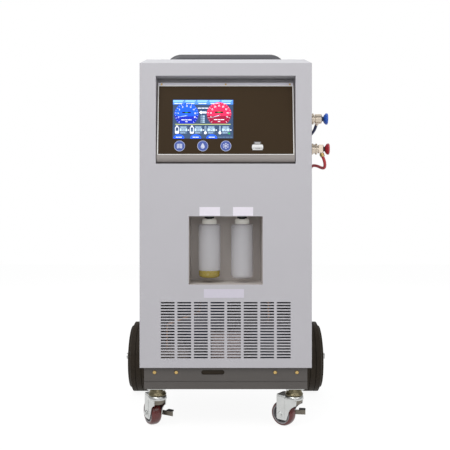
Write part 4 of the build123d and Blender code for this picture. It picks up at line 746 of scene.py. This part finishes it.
prints.box(PRINTER_X, PRINTER_Y - 0.0066, 0.0150, 0.0010, 0, 3 * LAYER, PRINT_GREY)
print_looks = [
    plain("print_pale", (0.66, 0.70, 0.86), 0.35),
    plain("print_blue", (0.055, 0.105, 0.42), 0.35),
    plain("print_white", (0.84, 0.84, 0.84), 0.35),
    plain("print_grey", (0.16, 0.15, 0.15), 0.35),
]
prints.make("panel_prints", print_looks, "cabinet", sharp=30)

# Bare adhesive labels over the bottles and the bare name-plate place under them
labels = Shape(axes((0, FRONT, 0), (1, 0, 0), (0, 0, 1)))
labels.box(-0.0482, 0.6669, 0.062, 0.0262, SUNK, 0.00025, 0, 0.0008)
labels.box(0.0522, 0.6669, 0.061, 0.0262, SUNK, 0.00025, 0, 0.0008)
labels.box(-0.0054, 0.4195, 0.121, 0.0262, SUNK, 0.00060, 1, 0.0012)
label_white = plain("label_white", (0.86, 0.82, 0.90), 0.45)
plate_lilac = plain("plate_lilac", (0.66, 0.63, 0.72), 0.35)
labels.make("front_labels", [label_white, plate_lilac], "cabinet", bevel=0.00015)


# Screws with cross recesses
def cross_outline(reach, half, turn):
    """A cross of 24 points, each near the angle of its own 15 degree step."""
    quarter = [(reach, 0), (reach, half), ((reach + half) / 2, half)]
    quarter += [(half, half), (half, (reach + half) / 2), (half, reach)]
    outline = []
    for step in range(4):
        spin = radians(90 * step + turn)
        outline += [(x * cos(spin) - y * sin(spin), x * sin(spin) + y * cos(spin)) for x, y in quarter]
    return outline


def screws(name, places, radius, dome, body, look):
    """Domed screw heads with cross recesses, each at a frame whose z points out of what it holds."""
    heads = Shape()
    profile = [(-radius * 0.4, 0.5), (-0.00005, 0.5), (-0.00005, 1.0), (dome * 0.25, 0.99)]
    profile += [(dome * 0.62, 0.88), (dome, 0.70)]
    for number, place in enumerate(places):
        turn = 20 + 37 * number
        heads.place = place
        loops = [[(x, y, h) for x, y in arc(0, 0, r * radius, turn, turn + 360, 24)] for h, r in profile]
        for h, reach in ((dome, 0.58), (dome * 0.30, 0.50)):
            loops.append([(x, y, h) for x, y in cross_outline(reach * radius, 0.13 * radius, turn)])
        heads.loft(loops)
    return heads.make(name, [look], body, sharp=40)


# Brass ones hold the console and the chassis, and plated ones the panels and the service plate
STRIP_Y = 0.112
FLANGE_Z = 0.179
PANEL_HEIGHTS = (0.225, 0.44, 0.66, 0.88)
SIDE_SCREWS = ((-0.27, 0.22), (-0.27, 0.60), (-0.27, 0.98), (0.17, 0.60), (0.17, 0.98))
SERVICE_X = -0.165
SERVICE_Z = 0.293
SERVICE_SHEET = 0.0015
UP = (0, 0, 1)
console_screws = [FACE @ Matrix.Translation((x, STRIP_Y, STRIP)) for x in (-0.196, 0, 0.196)]
chassis_places = [(x, FRONT + 0.010, FLANGE_Z) for x in (-0.216, -0.150, 0.150, 0.216)]
chassis_screws = [axes(place, (1, 0, 0), UP) for place in chassis_places]
small = screws("console_screws", console_screws, 0.003, 0.0015, "cabinet", paints["brass"])
large = screws("chassis_screws", chassis_screws, 0.006, 0.0025, "cabinet", paints["brass"])
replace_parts(small, "panel_screws")
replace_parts(large, "panel_screws")

sheet_places = [axes((x, REAR, z), (-1, 0, 0), UP) for x in (-0.248, 0.248) for z in PANEL_HEIGHTS]
sheet_places += [axes((SIDE, y, z), (0, 1, 0), UP) for y, z in SIDE_SCREWS]
sheet_places += [axes((-SIDE, y, z), (0, -1, 0), UP) for y, z in SIDE_SCREWS]
screws("sheet_screws", sheet_places, 0.0045, 0.0022, "cabinet", paints["zinc"])
corners = [(SERVICE_X + x, SERVICE_Z + z) for x in (-0.0455, 0.0455) for z in (-0.0555, 0.0555)]
service_places = [axes((x, REAR + SERVICE_SHEET, z), (-1, 0, 0), UP) for x, z in corners]
screws("service_screws", service_places, 0.003, 0.0015, "cabinet", paints["zinc"])


# Casters: each one's frame has its origin on the floor under the swivel, x along the trail and z up
SWIVEL_Y = FRONT + 0.045
WHEEL = 0.0381
TRAIL = 0.038
HALF_TREAD = 0.016
TREAD_DROP = 0.0048
CASTERS = (("left", -0.211, 120), ("right", 0.211, 142))
UPRIGHT = Matrix.Rotation(radians(90), 4, "X")


def caster_frame(x, angle):
    """The frame of a caster that trails that way."""
    turn = radians(angle)
    return axes((x, SWIVEL_Y, 0), (cos(turn), sin(turn), 0), (-sin(turn), cos(turn), 0))


def yoke(name, place):
    """The stamped fork: domed crown, skirt in front, two legs, a raised panel on one, and the bolt."""
    form = Shape(place)
    crown = [(0.1024, 0.0068), (0.1024, 0.0235), (0.1008, 0.0268), (0.0975, 0.0288), (0.0925, 0.0295)]
    crown += [(0.0900, 0.0295), (0.0900, 0.0270), (0.0960, 0.0262), (0.0985, 0.0240), (0.0998, 0.0068)]
    form.turned(crown, steps=72, closed=True)
    form.swept([(0.0915, 0.0266), (0.0915, 0.0292), (0.0750, 0.0205), (0.0750, 0.0180)], 128, 232, 26, 1)
    form.box(0.0210, 0, 0.0600, 0.0420, 0.0966, 0.0996, corner=0.0055)
    form.place = place @ UPRIGHT
    leg = arc(0.0200, 0.0285, 0.0060, 180, 270, 6, True) + arc(0.0450, 0.0285, 0.0060, 270, 360, 6, True)
    leg += arc(0.0470, 0.0955, 0.0040, 0, 90, 5, True)
    leg += [(-0.0190, 0.0985), (-0.0205, 0.0930), (-0.0190, 0.0735), (-0.0100, 0.0692), (-0.0030, 0.0638)]
    leg += [(0.0030, 0.0572), (0.0070, 0.0490), (0.0095, 0.0400)]
    for start in (-0.021, 0.018):
        form.prism(leg, start, start + 0.003)
    form.box(0.0350, 0.0610, 0.0270, 0.0670, -0.0219, -0.0208, corner=0.004)
    form.disc(TRAIL, WHEEL, 0.0088, -0.0229, -0.0210, steps=28)
    for start, end in ((-0.0262, -0.0225), (0.0246, 0.0284)):
        form.prism(arc(TRAIL, WHEEL, 0.0070, 30, 390, 6), start, end)
    form.disc(TRAIL, WHEEL, 0.0040, -0.0210, 0.0250, steps=20)
    looks = [paints["zinc"], paints["fork_shadow"]]
    return form.make(f"yoke_{name}", looks, f"caster_{name}", bevel=0.0005)


def swivel_head(name, x):
    """The bolted top plate, the flared ball race under it and the kingpin."""
    form = Shape(Matrix.Translation((x, SWIVEL_Y, 0)))
    form.box(0, 0, 0.060, 0.060, 0.1250, 0.1280, corner=0.006)
    race = [(0.1255, 0.0205), (0.1235, 0.0222), (0.1140, 0.0236), (0.1095, 0.0250), (0.1062, 0.0276)]
    race += [(0.1042, 0.0280), (0.1030, 0.0272), (0.1030, 0.0060), (0.0970, 0.0060), (0.0970, 0.0100)]
    race += [(0.0945, 0.0100)]
    form.turned(race, 1, steps=72)
    for bolt_x in (-0.022, 0.022):
        for bolt_y in (-0.022, 0.022):
            form.disc(bolt_x, bolt_y, 0.0055, 0.1240, 0.1252, steps=20)
            form.prism(arc(bolt_x, bolt_y, 0.0046, 10, 370, 6), 0.1210, 0.1245)
    looks = [paints["zinc"], paints["race_bronze"]]
    return form.make(f"swivel_{name}", looks, "cabinet", bevel=0.0005)


def crowned_tread(name, place):
    """A tread whose rolling face curves down to its shoulders."""
    form = Shape(place @ UPRIGHT @ Matrix.Translation((TRAIL, WHEEL, 0)))
    outline = [(-HALF_TREAD, 0.0301)]
    for step in range(-10, 11):
        share = step / 10
        outline.append((HALF_TREAD * share, WHEEL - TREAD_DROP * abs(share) ** 3))
    outline.append((HALF_TREAD, 0.0301))
    form.turned(outline, steps=96, closed=True)
    looks = [paints["maroon_tread"]]
    return form.make(f"tread_{name}", looks, f"caster_wheel_{name}", sharp=50)


def pedal_grip(name, place):
    """The ribbed black pad on the brake pedal's toe."""
    form = Shape(place @ Matrix.Translation((TRAIL, 0, 0)) @ Matrix.Rotation(radians(-90), 4, "Z"))
    lean = radians(-59)
    reach = 0.034
    toe = (0.0228 + reach * cos(lean), -0.014 + reach * sin(lean))
    form.place = form.place @ Matrix.Translation((*toe, 0)) @ Matrix.Rotation(lean, 4, "Z")
    form.box(0, 0, 0.0205, 0.0165, 0.0470, 0.0490, corner=0.003)
    for rib in range(5):
        form.box(-0.0072 + rib * 0.0036, 0, 0.0014, 0.0135, 0.0489, 0.0496, corner=0.0006)
    looks = [paints["black_plastic"]]
    return form.make(f"pedal_grip_{name}", looks, f"brake_{name}", bevel=0.0002)


for name, x, angle in CASTERS:
    place = caster_frame(x, angle)
    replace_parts(yoke(name, place), f"caster_fork_{name}")
    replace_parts(swivel_head(name, x), f"caster_head_{name}")
    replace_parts(crowned_tread(name, place), f"caster_tread_{name}")
    pedal_grip(name, place)

# Bottle caps with ribbed skirts, and the black connectors that hang in the forks
CAP_FOOT = 0.6277
BOTTLE_Y = -0.226
RIBS = 48
cap_looks = [paints["cap_white"], paints["black_plastic"]]
for name, x in (("used_oil", -0.051), ("new_oil", 0.051)):
    cap = Shape(Matrix.Translation((x, BOTTLE_Y, CAP_FOOT)))
    skirt = [(0.0108, 0.0162), (0, 0.0162), (0, 0.0214), (0.0012, 0.0218), (0.0128, 0.0218)]
    skirt += [(0.0147, 0.0212), (0.0155, 0.0198)]
    cap.turned(skirt)
    for rib in range(RIBS):
        angle = 360 * rib / RIBS
        outline = arc(0, 0, 0.0215, angle - 2, angle + 2, 1, True)
        outline += arc(0, 0, 0.0225, angle + 1.2, angle - 1.2, 1, True)
        cap.prism(outline, 0.0015, 0.0125)
    connector = [(0.0155, 0.0095), (0.0181, 0.0095), (0.0181, 0.0155), (0.0222, 0.0155), (0.0236, 0.0140)]
    cap.turned(connector, 1)
    made = cap.make(f"{name}_ribbed_cap", cap_looks, f"{name}_unit")
    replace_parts(made, f"{name}_cap")

# A dark sheet in the tyre rubber's look behind the slot in the chassis, as painted shade of the dark inside
# seen through it
slot_shade = Shape(axes((-0.040, FRONT + 0.0130, FLANGE_Z), (1, 0, 0), (0, 0, 1)))
slot_shade.box(0, 0, 0.084, 0.022, -0.0012, 0, corner=0.003)
slot_shade.box(0, 0.0085, 0.078, 0.003, 0, 0.0004, corner=0.001)
slot_shade.make("slot_painted_shade", [paints["tyre_rubber"]], "cabinet", bevel=0.0003)

# Couplers: fluted dished knobs on dark necks, and a brass crimp on the high side's ferrule
COUPLER_Y = FRONT + 0.150
LOW_COUPLER_Z = 0.969
HIGH_COUPLER_Z = 0.871
COUPLERS = (("low", 0.312, LOW_COUPLER_Z, "blue_knob"), ("high", 0.317, HIGH_COUPLER_Z, "red_knob"))
FLUTES = 10
FLUTE_POINTS = 12
FLUTE_DEPTH = 0.035
NECK = [(0.0004, 0.0051), (0.0004, 0.0086), (0.0022, 0.0078), (0.0056, 0.0074), (0.0056, 0.0051)]
DISH = [(0.0056, 0.0072), (0.0060, 0.0094), (0.0082, 0.0128), (0.0108, 0.0162), (0.0126, 0.0178)]
DISH += [(0.0150, 0.0186), (0.0176, 0.0187), (0.0190, 0.0181), (0.0196, 0.0170)]
DISH += [(0.0188, 0.0150), (0.0182, 0.0060)]
round_steps = FLUTE_POINTS * FLUTES
angles = [2 * pi * step / round_steps for step in range(round_steps)]
for name, body_end, z, colour in COUPLERS:
    knob = Shape(axes((body_end, COUPLER_Y, z), (0, 1, 0), (0, 0, 1)))
    knob.turned(NECK, 1, steps=40, closed=True)
    loops = []
    for h, r in DISH:
        depth = FLUTE_DEPTH * min(1, max(0, r - 0.0100) / 0.006)
        waves = [(angle, r * (1 - depth * (0.5 + 0.5 * cos(FLUTES * angle)) ** 3)) for angle in angles]
        loops.append([(wave * cos(angle), wave * sin(angle), h) for angle, wave in waves])
    knob.loft(loops)
    looks = [paints[colour], paints["black_plastic"]]
    made = knob.make(f"{name}_dished_knob", looks, f"{name}_knob")
    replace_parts(made, f"{name}_coupler_knob")
LEAN = radians(22)
BODY_RADIUS = 0.013
exit_way = Vector((sin(LEAN), 0, -cos(LEAN)))
across = Vector((cos(LEAN), 0, sin(LEAN)))
root = Vector((0.30625, COUPLER_Y, HIGH_COUPLER_Z)) + exit_way * BODY_RADIUS / cos(LEAN)
crimp = Shape(axes(root, across, exit_way.cross(across)))
ring = [(0.0010, 0.0066), (0.0010, 0.0071), (0.0040, 0.0071), (0.0042, 0.0079), (0.0068, 0.0079)]
ring += [(0.0070, 0.0071), (0.0126, 0.0070), (0.0126, 0.0066)]
crimp.turned(ring, steps=40, closed=True)
crimp.make("high_hose_crimp", [paints["brass"]], "cabinet", bevel=0.0002)


# Floor, backdrop and light
def seen_by(tree, first, second):
    """A value that is one for rays of these two kinds and nought for the others."""
    rays = tree.nodes.new("ShaderNodeLightPath")
    either = tree.nodes.new("ShaderNodeMath")
    either.operation = "MAXIMUM"
    tree.links.new(rays.outputs[first], either.inputs[0])
    tree.links.new(rays.outputs[second], either.inputs[1])
    return either.outputs[0]


SKY_LIGHT = 0.42
FLOOR_SHARE = 0.80
FLOOR_GLOW = 1.155
FLOOR_REACH = 6
FLOOR_Z = -0.0005
scene = bpy.context.scene
scene.view_settings.view_transform = "Standard"
world = bpy.data.worlds.new("world")
scene.world = world
world.use_nodes = True
sky = world.node_tree
sky_level = sky.nodes.new("ShaderNodeMapRange")
sky_level.inputs["To Min"].default_value = SKY_LIGHT
sky_level.inputs["To Max"].default_value = 1.0
sky.links.new(seen_by(sky, "Is Camera Ray", "Is Transmission Ray"), sky_level.inputs["Value"])
sky.nodes["Background"].inputs["Color"].default_value = (1, 1, 1, 1)
sky.links.new(sky_level.outputs["Result"], sky.nodes["Background"].inputs["Strength"])

square = [(-1, -1), (1, -1), (1, 1), (-1, 1)]
ground = bpy.data.meshes.new("floor")
ground.from_pydata([(x * FLOOR_REACH, y * FLOOR_REACH, FLOOR_Z) for x, y in square], [], [(0, 1, 2, 3)])
floor = bpy.data.objects.new("floor", ground)
scene.collection.objects.link(floor)
floor_look = bpy.data.materials.new("floor")
floor_look.use_nodes = True
tree = floor_look.node_tree
matte = tree.nodes["Principled BSDF"]
matte.inputs["Base Color"].default_value = (0.70, 0.70, 0.70, 1)
matte.inputs["Roughness"].default_value = 0.8
weight = tree.nodes.new("ShaderNodeMath")
weight.operation = "MULTIPLY"
weight.inputs[1].default_value = FLOOR_SHARE
tree.links.new(seen_by(tree, "Is Camera Ray", "Is Glossy Ray"), weight.inputs[0])
white = new_node(tree, "ShaderNodeEmission", Color=(1, 1, 1, 1), Strength=FLOOR_GLOW)
blend = tree.nodes.new("ShaderNodeMixShader")
tree.links.new(weight.outputs[0], blend.inputs[0])
tree.links.new(matte.outputs[0], blend.inputs[1])
tree.links.new(white.outputs[0], blend.inputs[2])
tree.links.new(blend.outputs[0], tree.nodes["Material Output"].inputs["Surface"])
ground.materials.append(floor_look)


def lamp(name, place, aim, width, height, watts):
    """A soft rectangular lamp aimed at a point."""
    light = bpy.data.lights.new(name, "AREA")
    light.shape = "RECTANGLE"
    light.size = width
    light.size_y = height
    light.energy = watts
    made = bpy.data.objects.new(name, light)
    made.location = place
    made.rotation_euler = (Vector(aim) - Vector(place)).to_track_quat("-Z", "Y").to_euler()
    scene.collection.objects.link(made)


lamp("key", (-1.2, -2.3, 3.2), (0, 0, 1.15), 1.8, 1.8, 52)
lamp("fill", (2.2, -2.2, 2.4), (0, 0, 0.95), 2.0, 2.0, 22)
lamp("front", (0.3, -3.4, 1.45), (0, 0, 1.05), 1.6, 1.2, 9)
lamp("top", (0, 0.4, 3.4), (0, 0, 0.6), 2.4, 2.4, 14)
lamp("back", (0.4, 3.0, 2.2), (0, 0, 0.7), 2.4, 2.0, 16)
